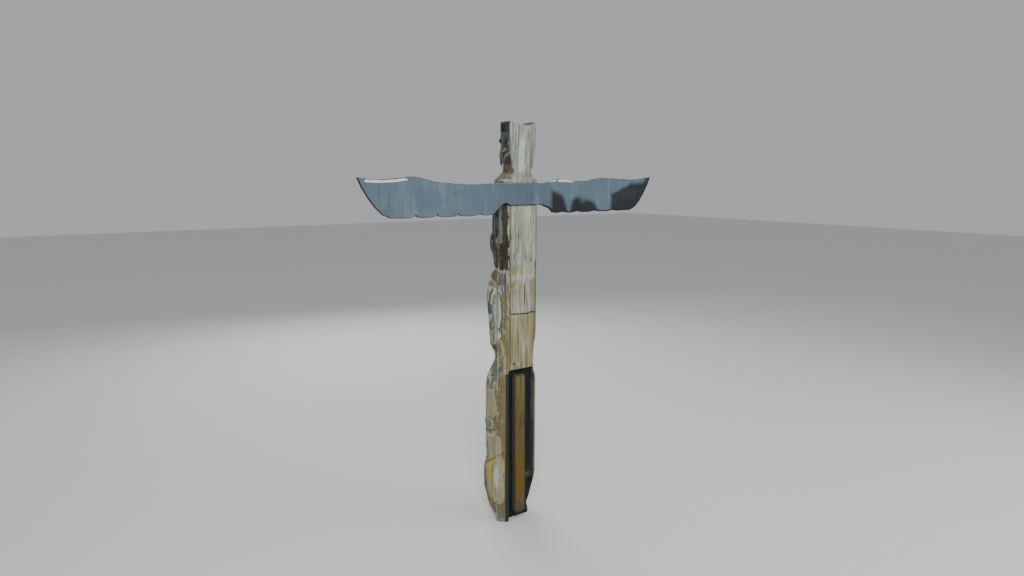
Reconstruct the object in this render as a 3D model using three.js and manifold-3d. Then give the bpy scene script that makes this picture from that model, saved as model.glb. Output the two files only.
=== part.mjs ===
// A carved cedar totem pole, in millimetres, +Z up, standing on its sawn butt. The carved front faces -Y and
// the back is sawn flat. From the top: a thunderbird whose outstretched wings are one plank let into the flat
// back, a raven with folded wings and its beak on its breast, and a seated bear. A post stands in a recess
// low in the back.
import * as THREE from "three";
import { mergeVertices } from "three/addons/utils/BufferGeometryUtils.js";
import Module from "manifold-3d";

const wasm = await Module();
wasm.setup();

// The log
const POLE_HEIGHT = 3632; // to the tips of the thunderbird's ears
const BUTT_RADIUS = 246;
const TOP_RADIUS = 212;
const BUTT_CENTRE_X = 22; // the log leans a little, so its heart is off the axis at the butt
const BUTT_CENTRE_Y = -38;
const BACK_Y = 156; // the sawn flat back
const SLAB_FRONT_Y = 70; // behind this the log's own surface is left uncarved
const FIT_GAP = 0.3; // between pieces that are fitted together

// The wing plank
const WING_HALF_SPAN = 1527;
const WING_THICKNESS = 30;
const WING_HOUSING_DEPTH = 12; // how far it is let into the flat back
const WING_DROP = 716; // from the ear tips down to the lower edge of the plank's waist
const WAIST_HEIGHT = 191;
const FEATHER_DROP = 80; // how far the feather tips hang below the waist
const TIP_RISE = 51; // how far the wing tips rise above the waist
const WAIST_LOW_Z = POLE_HEIGHT - WING_DROP;
const WAIST_TOP_Z = WAIST_LOW_Z + WAIST_HEIGHT;
const WING_LOW_Z = WAIST_LOW_Z - FEATHER_DROP;
const FEATHER_NOTCH = 42; // how deep the outermost notch is cut
const FEATHER_GROOVE_DEPTH = 7;

// The recess in the lower back and the post that stands in it
const RECESS_LEFT_X = 150;
const RECESS_RIGHT_X = -129;
const RECESS_TOP_Z = 1442;
const RECESS_DEPTH = 57;
const POST_WIDTH = 115;
const POST_CLEAR = 99; // from the recess's right wall to the post
const POST_HEAD_CLEAR = 58; // from the recess's top to the post
const POST_FOOT_Z = 40; // its foot is short of the ground

// The decayed corner at the foot of the back
const ROT_TOP_Z = 338;
const ROT_DEPTH = 78;

const LOG_SIDES = 28;
const CORE_SIDES = 18;
const LIMB_SIDES = 8;

const { cos, sin, abs, sign, max, min, PI, hypot } = Math;
const lerp = (a, b, t) => a + (b - a) * t;
const clamp01 = (t) => min(1, max(0, t));

// The thunderbird's ear, seen from the back. The figures are drawn up to its tip, and the carved log is then
// stretched from that drawn height to the pole's, so every height in the carving is a share of the pole's
const EAR_FOOT_Z = 3560;
const EAR = [[140, EAR_FOOT_Z], [140, 3616], [132, 3632], [112, 3628], [84, 3608], [58, EAR_FOOT_Z]];
const DRAWN_HEIGHT = max(...EAR.map(([, z]) => z));
const STRETCH = POLE_HEIGHT / DRAWN_HEIGHT;
const SHOULDER_Z = DRAWN_HEIGHT - 493; // the uncarved back third ends here, under the neck

// The centre and radius of the natural log at a height
const logCentre = (z) => {
  const t = z / DRAWN_HEIGHT;
  return [lerp(BUTT_CENTRE_X, 0, t), lerp(BUTT_CENTRE_Y, 0, t)];
};
const logRadius = (z) => lerp(BUTT_RADIUS, TOP_RADIUS, z / DRAWN_HEIGHT);

// A closed geometry as a solid with its faces pointing out
function solid(geometry) {
  const bare = new THREE.BufferGeometry().setAttribute("position", geometry.getAttribute("position"));
  if (geometry.index) bare.setIndex(geometry.index);
  const merged = mergeVertices(bare, 1e-3);
  const p = merged.attributes.position;
  const corners = merged.index.array;
  const all = Array.from({ length: corners.length / 3 }, (_, i) => corners.slice(3 * i, 3 * i + 3));
  const tris = all.filter(([a, b, c]) => a !== b && b !== c && c !== a);
  const corner = (i) => new THREE.Vector3().fromBufferAttribute(p, i);
  const volume = tris.reduce((sum, [a, b, c]) => sum + corner(a).dot(corner(b).cross(corner(c))), 0);
  const turned = volume < 0 ? tris.map(([a, b, c]) => [a, c, b]) : tris;
  const triVerts = new Uint32Array(turned.flatMap((t) => [...t]));
  const vertProperties = new Float32Array(p.array);
  return new wasm.Manifold(new wasm.Mesh({ numProp: 3, vertProperties, triVerts }));
}

const joined = (solids) => solids.reduce((all, next) => all.add(next));
const cut = (body, tools) => tools.reduce((left, tool) => left.subtract(tool), body);
const bothSides = (make) => [1, -1].flatMap((side) => make(side));

// A stack of rings: place(angle, level) gives each ring's points, and a null angle its middle
function stack(levels, sides, place) {
  const g = new THREE.CylinderGeometry(1, 1, 1, sides, levels.length - 1);
  const p = g.attributes.position;
  for (let i = 0; i < p.count; i++) {
    const x = p.getX(i);
    const y = p.getZ(i);
    const level = levels[Math.round((0.5 + p.getY(i)) * (levels.length - 1))];
    const angle = hypot(x, y) > 0.5 ? Math.atan2(y, x) : null;
    p.setXYZ(i, ...place(angle, level));
  }
  return solid(g);
}

// One point of a rounded D: half-width w, front depth f and back depth b, with its own squareness at the back
function roundedD(angle, centreX, centreY, { w, f, b = 190, frontPower = 2.6, backPower = 2.2 }) {
  if (angle === null) return [centreX, centreY];
  const [c, s] = [cos(angle), sin(angle)].map((v) => Math.round(v * 1e9) / 1e9);
  const power = s < 0 ? frontPower : backPower;
  const x = w * sign(c) * abs(c) ** (2 / power);
  const y = (s < 0 ? f : b) * sign(s) * abs(s) ** (2 / power);
  return [centreX + x, centreY + y];
}

// A block between two corners
function block(low, high) {
  const size = high.map((v, i) => v - low[i]);
  const g = new THREE.BoxGeometry(...size);
  g.translate(...low.map((v, i) => v + size[i] / 2));
  return solid(g);
}

// A rounded mass, with its half-sizes
function lump([x, y, z], [rx, ry, rz], { turnY = 0, turnZ = 0, across = 9, up = 5 } = {}) {
  const g = new THREE.SphereGeometry(1, across, up);
  g.rotateX(PI / 2).scale(rx, ry, rz).rotateY(turnY).rotateZ(turnZ).translate(x, y, z);
  return solid(g);
}

// A limb swept through stations [x, y, z, half-width, half-height], its width along the given side direction
function limb(stations, { side = [1, 0, 0], steps = 1, sides = LIMB_SIDES } = {}) {
  const points = stations.map(([x, y, z]) => new THREE.Vector3(x, y, z));
  const path = new THREE.CatmullRomCurve3(points, false, "centripetal");
  const count = (stations.length - 1) * steps;
  const sideways = new THREE.Vector3(...side);
  return stack(Array.from({ length: count + 1 }, (_, i) => i / count), sides, (angle, t) => {
    const at = path.getPoint(t);
    if (angle === null) return at.toArray();
    const along = path.getTangent(t);
    const up = new THREE.Vector3().crossVectors(along, sideways).normalize();
    const across = new THREE.Vector3().crossVectors(up, along).normalize();
    const k = min(stations.length - 2, Math.floor(t * (stations.length - 1)));
    const u = t * (stations.length - 1) - k;
    const width = lerp(stations[k][3], stations[k + 1][3], u);
    const height = lerp(stations[k][4], stations[k + 1][4], u);
    return at.addScaledVector(across, width * cos(angle)).addScaledVector(up, height * sin(angle)).toArray();
  });
}

// A plate wrapped round the log: its edges are angles from the flank (0 at the side, -90 at the front) at
// each height, and reach(u, v, z) is how far its face stands from the log's centre
function wrapped(side, { low, high, back, front, reach, inner = 120, across = 10, up = 10 }) {
  const g = new THREE.BoxGeometry(1, 1, 1, across, up, 1);
  const p = g.attributes.position;
  for (let i = 0; i < p.count; i++) {
    const u = p.getX(i) + 0.5;
    const v = p.getY(i) + 0.5;
    const angle = THREE.MathUtils.degToRad(lerp(back(v), front(v), u));
    const z = lerp(low(u), high(u), v);
    const [cx, cy] = logCentre(z);
    const r = p.getZ(i) > 0 ? reach(u, v, z) : inner;
    p.setXYZ(i, cx + side * r * cos(angle), cy + r * sin(angle), z);
  }
  return solid(g);
}

// An oval lying on the flank, given as a flat geometry in x and y that faces +z, and bent round the log
function onFlank(geometry, side, angle0, z0, reach) {
  const p = geometry.attributes.position;
  for (let i = 0; i < p.count; i++) {
    const z = z0 + p.getY(i);
    const [cx, cy] = logCentre(z);
    const r = reach + p.getZ(i);
    const angle = THREE.MathUtils.degToRad(angle0) - p.getX(i) / reach;
    p.setXYZ(i, cx + side * r * cos(angle), cy + r * sin(angle), z);
  }
  return solid(geometry);
}

// The natural log with its back sawn flat: nothing that is carved stands outside it
const whole = stack([0, DRAWN_HEIGHT], LOG_SIDES, (angle, z) => {
  const [cx, cy] = logCentre(z);
  const r = angle === null ? 0 : logRadius(z);
  return [cx + r * cos(angle ?? 0), cy + r * sin(angle ?? 0), z];
});
const envelope = whole.subtract(block([-400, BACK_Y, -10], [400, BACK_Y + 300, DRAWN_HEIGHT + 10]));
const uncarvedBack = envelope.intersect(block([-400, SLAB_FRONT_Y, 0], [400, BACK_Y + 10, SHOULDER_Z]));

// The carved core of each figure as [height, half-width, front depth], from its foot to the top of its head
const BEAR_CORE = [
  [0, 146, 156], [60, 186, 196], [140, 208, 224], [240, 216, 238], [430, 232, 246], [530, 216, 226],
  [700, 220, 228], [900, 222, 226], [1020, 230, 222], [1230, 228, 218], [1320, 220, 216],
  [1400, 188, 196], [1470, 156, 164], [1515, 142, 150],
];
const RAVEN_CORE = [
  [1545, 144, 152], [1640, 172, 174], [1800, 178, 182], [2110, 182, 186], [2260, 180, 190], [2310, 166, 178],
  [2345, 144, 152],
];
const THUNDERBIRD_CORE = [
  [2378, 146, 152], [2450, 164, 166], [2700, 170, 172], [2950, 168, 178], [3090, 160, 170], [3138, 148, 156],
  [3170, 118, 136], [3196, 94, 88], [3216, 91, 64], [3262, 91, 64],
];
const CORE = [...BEAR_CORE, ...RAVEN_CORE, ...THUNDERBIRD_CORE];
const core = stack(CORE, CORE_SIDES, (angle, [z, w, f]) => {
  const shape = { w, f, backPower: z > SHOULDER_Z ? 6 : 2.2 };
  return [...roundedD(angle, logCentre(z)[0], 0, shape), z];
});

// Feet with three curved claws each, gripping what is below: at and grip are the ankle and claw tip heights
function claws({ x, y, at, grip, spread, thick }) {
  return bothSides((side) =>
    [-1, 0, 1].map((k) =>
      limb([
        [side * x, y + 26, at, thick * 1.25, thick],
        [side * x + k * spread * 0.75, y - 8, lerp(at, grip, 0.4), thick * 1.1, thick],
        [side * x + k * spread, y, grip, thick * 0.55, thick * 0.5],
      ], { sides: 5 }),
    ),
  );
}

// Brow, eyeball and socket of one pair of eyes
function eyes({ x, y, z, w, h, brow, arch, toe = 0.55 }) {
  const sockets = bothSides((side) => [
    lump([side * x, y - h * 0.75, z], [w * 1.5, h * 1.3, h * 1.4], { turnZ: side * toe, across: 8, up: 4 }),
  ]);
  const raised = bothSides((side) => [
    lump([side * x, y, z], [w * 0.95, h * 0.85, h * 0.82], { turnZ: side * toe, across: 8, up: 4 }),
    limb([
      [side * x * 0.22, y - h * 0.7, z + h * 1.2, brow * 0.8, brow * 0.9],
      [side * x, y - h * 0.8, z + h * 1.7 + arch, brow * 1.1, brow],
      [side * (x + w * 1.5), y + h * 1.1, z + h * 1.35, brow * 0.7, brow * 0.8],
    ], { side: [0, 1, 0], sides: 6 }),
  ]);
  return { sockets, raised };
}

// The thunderbird: a block of a head with low ears and an open hooked beak, a rounded breast, legs drawn up
// on the flanks and a short tail
function thunderbird() {
  const HEAD = [
    [3228, 106], [3270, 117], [3340, 132], [3400, 138], [3560, 140], [3590, 138], [3602, 130],
  ];
  const head = stack(HEAD, CORE_SIDES, (angle, [z, w]) => {
    const shape = { w, f: z > 3595 ? 104 : w * 0.86, b: 132, frontPower: 2.3, backPower: 8 };
    return [...roundedD(angle, 0, 50, shape), z];
  });
  const earShape = new THREE.Shape(EAR.map(([x, z]) => new THREE.Vector2(x, z)));
  const ears = bothSides((side) => {
    const g = new THREE.ExtrudeGeometry(earShape, { depth: BACK_Y - 2, bevelEnabled: false });
    return [solid(g.rotateX(PI / 2).scale(side, 1, 1).translate(0, BACK_Y, 0))];
  });
  const earHollows = bothSides((side) => [lump([side * 100, -4, 3588], [24, 26, 34], { across: 8, up: 4 })]);
  const look = eyes({ x: 80, y: -42, z: 3428, w: 34, h: 27, brow: 20, arch: 8, toe: 0.8 });
  const upperBeak = limb([
    [0, -40, 3418, 48, 46], [0, -105, 3424, 42, 40], [0, -152, 3400, 32, 34], [0, -180, 3350, 24, 27],
    [0, -189, 3292, 15, 19], [0, -180, 3246, 6, 9],
  ]);
  const lowerBeak = limb([
    [0, -40, 3306, 44, 28], [0, -100, 3302, 34, 23], [0, -142, 3296, 21, 15], [0, -160, 3292, 9, 7],
  ]);
  const breast = lump([0, -108, 2926], [124, 88, 196], { across: 10, up: 6 });
  const legs = bothSides((side) => [
    lump([side * 116, -84, 2574], [62, 84, 132], { across: 10, up: 6 }),
    limb([[side * 96, -150, 2560, 34, 34], [side * 82, -160, 2480, 27, 26], [side * 72, -150, 2412, 26, 24]]),
    wrapped(side, {
      low: () => 2548, high: (u) => 2906 - (u - 0.5) ** 2 * 60, up: 6, across: 4,
      back: (v) => lerp(16, 34, clamp01(4 * v)), front: (v) => lerp(4, -14, clamp01(4 * v)),
      reach: (u, v) => 188 + 8 * sin(PI * u) * sin(PI * v),
    }),
  ]);
  const tail = limb([[0, -140, 2730, 34, 24], [0, -166, 2560, 50, 20], [0, -166, 2396, 58, 16]]);
  return {
    add: [head, ...ears, ...look.raised, breast, ...legs, tail,
      ...claws({ x: 70, y: -156, at: 2418, grip: 2350, spread: 28, thick: 15 })],
    cutFirst: [...look.sockets, ...earHollows],
    last: [upperBeak, lowerBeak],
  };
}

// The raven: a round head, a long beak laid down on the breast, and folded wings of four long feathers each
function raven() {
  const look = eyes({ x: 92, y: -152, z: 2216, w: 36, h: 27, brow: 19, arch: 6 });
  const beak = limb([
    [0, -140, 2236, 56, 40], [0, -186, 2150, 50, 42], [0, -202, 2050, 42, 34], [0, -207, 1950, 33, 27],
    [0, -207, 1860, 23, 20], [0, -198, 1796, 9, 9],
  ], { sides: 10 });
  const mouth = bothSides((side) => [
    limb([[side * 56, -176, 2150, 8, 9], [side * 46, -200, 2050, 8, 8], [side * 34, -208, 1950, 7, 7],
      [side * 20, -206, 1850, 5, 5]], { sides: 4 }),
  ]);
  const wings = bothSides((side) => [
    wrapped(side, {
      low: (u) => 1622 + 34 * (1 - u) + 14 * abs(sin(4 * PI * u)), high: (u) => 2250 - 190 * (u - 0.45) ** 2,
      back: (v) => lerp(8, 19, clamp01(3 * v)), front: (v) => lerp(-30, -47, clamp01(2 * v)),
      reach: (u, v, z) => {
        const groove = v < 0.62 && abs(u * 4 - Math.round(u * 4)) < 0.1 && u > 0.05 && u < 0.95 ? 9 : 0;
        const shoulder = 26 * clamp01((z - 2140) / 110) ** 2;
        return lerp(192, 224, clamp01((z - 1700) / 380)) - shoulder - groove;
      },
      across: 12, up: 4,
    }),
  ]);
  const breast = lump([0, -112, 1772], [104, 84, 148], { across: 10, up: 6 });
  const haunches = bothSides((side) => [lump([side * 132, -56, 1628], [52, 80, 60])]);
  return {
    add: [...look.raised, ...wings, breast, ...haunches,
      ...claws({ x: 64, y: -166, at: 1644, grip: 1552, spread: 28, thick: 17 })],
    cutFirst: look.sockets,
    last: [beak],
    cutLast: mouth,
  };
}

// The bear: round ears, a blunt snout with bared teeth, an oval joint on each shoulder, paws on the chest
// and drawn-up hind legs
function bear() {
  const look = eyes({ x: 100, y: -188, z: 1226, w: 42, h: 31, brow: 24, arch: 8 });
  const ears = bothSides((side) => [lump([side * 204, -48, 1318], [44, 64, 90], { across: 10, up: 6 })]);
  const earHollows = bothSides((side) => [lump([side * 246, -64, 1306], [20, 34, 50])]);
  const snout = lump([0, -190, 1112], [92, 88, 76], { across: 10, up: 6 });
  const bridge = limb([[0, -240, 1140, 40, 30], [0, -224, 1210, 32, 28], [0, -208, 1290, 28, 26]]);
  const nostrils = bothSides((side) => [lump([side * 38, -268, 1118], [18, 20, 14], { across: 8, up: 4 })]);
  const mouth = limb([[-128, -176, 1002, 24, 22], [-70, -226, 1008, 30, 25], [0, -246, 1010, 34, 26],
    [70, -226, 1008, 30, 25], [128, -176, 1002, 24, 22]], { side: [0, 1, 0] });
  const TOOTH = 24;
  const teeth = [-2, -1, 0, 1, 2].map((k) => {
    const y = -222 + abs(k) * 9;
    return block([k * 30 - TOOTH / 2, y, 1000], [k * 30 + TOOTH / 2, y + 34, 1042]);
  });
  const lip = limb([[-132, -168, 968, 20, 18], [-70, -222, 966, 24, 20], [0, -240, 964, 26, 22],
    [70, -222, 966, 24, 20], [132, -168, 968, 20, 18]], { side: [0, 1, 0] });
  const JOINT_HALF_HEIGHT = 65;
  const JOINT_HALF_WIDTH = 86;
  const joints = bothSides((side) => {
    const oval = new THREE.CylinderGeometry(0.93, 1, 90, 14).rotateX(PI / 2);
    return [onFlank(oval.scale(JOINT_HALF_WIDTH, JOINT_HALF_HEIGHT, 1), side, -1, 927, 194)];
  });
  const arms = bothSides((side) => [
    wrapped(side, {
      low: (u) => 700 - 90 * sin(PI * clamp01(u * 1.2)), high: (u) => 962 - 60 * (2 * u - 1) ** 2,
      back: () => 24, front: () => -44, reach: (u, v) => 222 + 8 * sin(PI * v) * sin(PI * u),
      across: 6, up: 4,
    }),
    limb([[side * 196, -90, 672, 46, 46], [side * 150, -170, 662, 38, 40], [side * 84, -206, 712, 34, 36]]),
    lump([side * 68, -206, 752], [54, 46, 50]),
  ]);
  const fingers = bothSides((side) => [0, 1, 2].map((k) => {
    const x = side * (34 + 32 * k);
    const [knuckle, tip] = [-246 + 4 * k, -238 + 5 * k];
    return limb([[x, -222, 760, 15, 15], [x, knuckle, 722, 14, 14], [x, tip, 676, 6, 5]], { sides: 4 });
  }));
  const legs = bothSides((side) => [
    wrapped(side, {
      low: () => 84, high: (u) => lerp(646, 545, clamp01(1.64 * u)), back: () => 32, front: () => -76,
      reach: (u, v) => 243 - 22 * max(0, v - 0.86) / 0.14 - 80 * clamp01(1 - 2 * v) ** 2,
      across: 7, up: 5,
    }),
    lump([side * 90, -144, 66], [64, 72, 62], { across: 10, up: 6 }),
  ]);
  return {
    add: [...look.raised, ...ears, snout, bridge, lip, ...joints, ...arms, ...fingers, ...legs],
    cutFirst: look.sockets,
    cutMiddle: [mouth, ...nostrils, ...earHollows],
    last: teeth,
    cutLast: [],
  };
}

// The decayed corner: splintered wedges that run up the grain
function decay() {
  const facing = new THREE.Vector3(-0.825, 0.564, 0); // across the corner of the flat back
  const corner = -facing.x * 131 + facing.y * BACK_Y;
  return [[0, 1, 0], [46, 0.86, 60], [-52, 0.9, -50]].map(([across, share, lift]) => {
    const depth = ROT_DEPTH * share;
    const profile = new THREE.Shape([
      [60, -20], [60, ROT_TOP_Z + lift + 60], [4, ROT_TOP_Z + lift], [-depth * 0.46, 200 + lift * 0.5],
      [-depth, 84], [-depth * 0.72, 26], [-depth * 0.8, -20],
    ].map(([out, z]) => new THREE.Vector2(out, z)));
    const g = new THREE.ExtrudeGeometry(profile, { depth: 220, bevelEnabled: false });
    g.translate(0, 0, -110 + across).rotateX(PI / 2).rotateZ(Math.atan2(facing.y, facing.x));
    return solid(g.translate(facing.x * corner, facing.y * corner, 0));
  });
}

// Drying checks and the saw cut in the flat back: wedges [x, z, half-width, half-height, depth]
function backChecks() {
  return [
    [132, 1934, 4, 486, 12],
    [-20, 2140, 5, 104, 16],
    [0, 1958, 134, 5, 12],
    [-66, 2560, 3.5, 130, 12],
    [46, 1640, 3.5, 110, 10],
  ].map(([x, z, w, h, depth]) => {
    const g = new THREE.SphereGeometry(1, 4, 2);
    g.rotateY(PI / 4).rotateX(PI / 2);
    g.scale(w * 1.42, depth, h * 1.42);
    const flat = new THREE.BoxGeometry(2 * w, 2 * depth, 2 * h);
    return solid((w > h ? flat : g).translate(x, BACK_Y, z));
  });
}

// The shallow hollow worked along the right edge of the back between the raven and the bear
function edgeHollow() {
  return lump([-214, BACK_Y, 1526], [96, 104, 290], { across: 10, up: 6 });
}

// The wing's outline, from the waist to each tip. Across, a share of the half-span; up, from the waist's top
// or the feather tips
function wingOutline() {
  const outline = new THREE.Shape();
  const left = {
    side: 1, arch: 22,
    notches: [[0.292, 20], [0.430, 26], [0.561, 38], [0.688, FEATHER_NOTCH]],
    top: [[0.196, -2], [0.360, -6], [0.485, 3], [0.576, 19], [0.655, 50], [0.705, 60], [0.786, 45],
      [0.907, 33]],
  };
  const right = {
    side: -1, arch: -4,
    notches: [[0.282, 14], [0.397, 18], [0.532, 18], [0.680, 20]],
    top: [[0.145, 1], [0.216, 31], [0.293, 34], [0.354, 19], [0.452, 14], [0.567, 45], [0.661, 41],
      [0.836, 26], [0.917, 34]],
  };
  const NOTCH_HALF_WIDTH = 11;
  const LOBE_CORNER = 60;
  const lower = ({ side, notches, arch }) => {
    const points = [[150, WAIST_LOW_Z], [186, WAIST_LOW_Z + arch], [226, WAIST_LOW_Z + arch - 14],
      [276, WAIST_LOW_Z - 36], [318, WING_LOW_Z + 6]];
    for (const [share, depth] of notches) {
      const x = share * WING_HALF_SPAN;
      points.push(...[[-LOBE_CORNER, 0], [-NOTCH_HALF_WIDTH, 8], [0, depth], [NOTCH_HALF_WIDTH, 8],
        [LOBE_CORNER, 0]].map(([across, rise]) => [x + across, WING_LOW_Z + rise]));
    }
    const end = [[0.826, 4], [0.870, 32], [0.906, 86], [0.943, 160], [0.976, 242]];
    points.push(...end.map(([share, rise]) => [share * WING_HALF_SPAN, WING_LOW_Z + rise]));
    return [...points, [WING_HALF_SPAN, WAIST_TOP_Z + TIP_RISE]].map(([x, z]) => [side * x, z]);
  };
  const onTop = (side) => ([share, rise]) => [side * share * WING_HALF_SPAN, WAIST_TOP_Z + rise];
  const upper = ({ side, top }) => top.map(onTop(side));
  const points = [...lower(left), ...upper(left).reverse(), [150, WAIST_TOP_Z], [-150, WAIST_TOP_Z],
    ...upper(right), ...lower(right).reverse()];
  points.forEach(([x, z], i) => (i ? outline.lineTo(x, z) : outline.moveTo(x, z)));
  return { outline, halves: [left, right] };
}

function wings() {
  const { outline, halves } = wingOutline();
  const backFace = BACK_Y - WING_HOUSING_DEPTH + WING_THICKNESS;
  const g = new THREE.ExtrudeGeometry(outline, { depth: WING_THICKNESS, bevelEnabled: false });
  const plank = solid(g.rotateX(PI / 2).translate(0, backFace, 0));
  const front = backFace - WING_THICKNESS;
  const grooves = halves.flatMap(({ side, notches }) => [
    ...notches.map(([share, depth]) => {
      const x = share * WING_HALF_SPAN;
      return limb([[side * x, front, WING_LOW_Z + depth - 12, 7, FEATHER_GROOVE_DEPTH],
        [side * (x - 24), front, WAIST_LOW_Z + 44, 6, FEATHER_GROOVE_DEPTH],
        [side * (x - 74), front, WAIST_TOP_Z - 71, 4, 3]], { sides: 4 });
    }),
    limb([[0.216, -101, 5], [0.498, -67, 7], [0.753, -41, 7], [0.930, 1, 4]].map(([share, rise, deep]) =>
      [side * share * WING_HALF_SPAN, front, WAIST_TOP_Z + rise, deep, deep]), { side: [0, 0, 1], sides: 4 }),
  ]);
  return cut(plank, grooves);
}

// The housing in the back that takes the plank's waist, with its fitting gap
function wingHousing() {
  const low = WAIST_LOW_Z - FIT_GAP;
  const high = WAIST_TOP_Z + FIT_GAP;
  return block([-400, BACK_Y - WING_HOUSING_DEPTH - FIT_GAP, low], [400, BACK_Y + 60, high]);
}

// The square-cut recess in the lower back, open at the ground
const RECESS_FLOOR_Y = BACK_Y - RECESS_DEPTH;
const recess = () => block([RECESS_RIGHT_X, RECESS_FLOOR_Y, -20], [RECESS_LEFT_X, BACK_Y + 60, RECESS_TOP_Z]);

// The post, flush with the back and fitted against the recess's floor
function post() {
  const right = RECESS_RIGHT_X + POST_CLEAR;
  const low = [right, RECESS_FLOOR_Y + FIT_GAP, POST_FOOT_Z];
  return block(low, [right + POST_WIDTH, BACK_Y, RECESS_TOP_Z - POST_HEAD_CLEAR]);
}

function pole(rot) {
  const figures = [thunderbird(), raven(), bear()];
  const all = (key) => figures.flatMap((f) => f[key] ?? []);
  const hollows = all("cutFirst");
  const heads = cut(joined([core, ...all("add").slice(0, 1)]), hollows);
  const masses = joined([heads, uncarvedBack, ...all("add").slice(1)]);
  const carved = cut(joined([cut(masses, all("cutMiddle")), ...all("last")]), all("cutLast"));
  const log = cut(carved.intersect(envelope), [edgeHollow(), ...backChecks()]).scale([1, 1, STRETCH]);
  return cut(log, [wingHousing(), recess(), ...rot]);
}

const paint = (hex, roughness) => new THREE.MeshStandardMaterial({ color: hex, roughness, metalness: 0 });
const WEATHERED_CEDAR = paint(0xa39b83, 0.85);
const SLATE_PAINT = paint(0x64757e, 0.7);
const POST_WOOD = paint(0x8a6c3c, 0.8);

// The largest body of a solid: splinters that a cut leaves loose are dropped
const mainBody = (s) => s.decompose().sort((a, b) => b.volume() - a.volume())[0];

function mesh(name, made, material) {
  const { numProp, vertProperties, triVerts } = mainBody(made).getMesh();
  const count = vertProperties.length / numProp;
  const positions = new Float32Array(count * 3);
  for (let i = 0; i < count; i++) positions.set(vertProperties.subarray(i * numProp, i * numProp + 3), i * 3);
  const g = new THREE.BufferGeometry().setAttribute("position", new THREE.BufferAttribute(positions, 3));
  g.setIndex(new THREE.BufferAttribute(new Uint32Array(triVerts), 1));
  g.computeVertexNormals();
  const made3 = new THREE.Mesh(g, material);
  made3.name = name;
  return made3;
}

const totem = new THREE.Group();
totem.add(mesh("pole", pole(decay()), WEATHERED_CEDAR));
totem.add(mesh("wings", wings(), SLATE_PAINT));
totem.add(mesh("support_post", post(), POST_WOOD));

export default totem;
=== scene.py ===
"""The look of a weathered, painted cedar totem pole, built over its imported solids.

The carved front faces -Y and the flat back +Y. Everything is in metres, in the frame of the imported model.
"""

import logging
import math
from collections.abc import Iterable, Mapping, Sequence
from dataclasses import dataclass, field
from enum import Enum
from itertools import product

import bmesh
import bpy
import numpy as np
from mathutils import Matrix, Vector
from mathutils.kdtree import KDTree


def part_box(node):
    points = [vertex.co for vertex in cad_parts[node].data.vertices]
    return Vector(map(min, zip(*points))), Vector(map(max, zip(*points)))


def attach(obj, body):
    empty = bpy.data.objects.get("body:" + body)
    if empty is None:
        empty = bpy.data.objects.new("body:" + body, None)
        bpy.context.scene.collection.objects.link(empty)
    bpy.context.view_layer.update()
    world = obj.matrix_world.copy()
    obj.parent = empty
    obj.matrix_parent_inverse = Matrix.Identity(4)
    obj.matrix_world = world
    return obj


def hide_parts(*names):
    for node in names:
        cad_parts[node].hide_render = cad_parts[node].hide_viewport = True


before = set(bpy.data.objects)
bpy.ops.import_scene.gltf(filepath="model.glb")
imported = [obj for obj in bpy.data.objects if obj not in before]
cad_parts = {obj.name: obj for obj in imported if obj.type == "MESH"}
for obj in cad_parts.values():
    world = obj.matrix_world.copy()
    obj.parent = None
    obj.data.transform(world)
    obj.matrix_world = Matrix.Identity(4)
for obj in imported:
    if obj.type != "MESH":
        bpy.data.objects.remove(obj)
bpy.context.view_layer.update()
LOG = logging.getLogger("totem")

Rgb = tuple[float, float, float]
Array = np.ndarray


def srgb(red: int, green: int, blue: int) -> Rgb:
    """Turns a colour of 0 to 255 as the eye sees it into linear light."""
    parts = (red / 255, green / 255, blue / 255)
    return tuple(p / 12.92 if p <= 0.04045 else ((p + 0.055) / 1.055) ** 2.4 for p in parts)


def faded(tint: Rgb) -> Rgb:
    """A paint's colour after years of sun."""
    return tuple(0.74 * part + 0.055 for part in tint)


class Paint(Enum):
    """The paints on the pole, by the name of the vertex attribute that holds each one's edge distance."""

    OCHRE = "paint_ochre"
    WHITE = "paint_white"
    TEAL = "paint_teal"
    RED = "paint_red"
    PLUM = "paint_plum"
    BROWN = "paint_brown"
    BLACK = "paint_black"
    OLIVE = "paint_olive"
    SAGE = "paint_sage"
    RUST = "paint_rust"
    BONE = "paint_bone"
    TAN = "paint_tan"


PAINT_COLOUR: dict[Paint, Rgb] = {
    Paint.OCHRE: srgb(176, 152, 76),
    Paint.WHITE: srgb(178, 185, 177),
    Paint.TEAL: srgb(50, 78, 78),
    Paint.RED: srgb(116, 46, 34),
    Paint.PLUM: srgb(80, 79, 93),
    Paint.BROWN: srgb(42, 37, 28),
    Paint.BLACK: srgb(24, 25, 30),
    Paint.OLIVE: srgb(110, 101, 63),
    Paint.SAGE: srgb(104, 113, 99),
    Paint.RUST: srgb(92, 64, 20),
    Paint.BONE: srgb(155, 147, 108),
    Paint.TAN: srgb(126, 98, 70),
}

SOFT_PAINTS = (Paint.OLIVE, Paint.SAGE, Paint.BONE, Paint.TAN, Paint.RUST)


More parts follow.
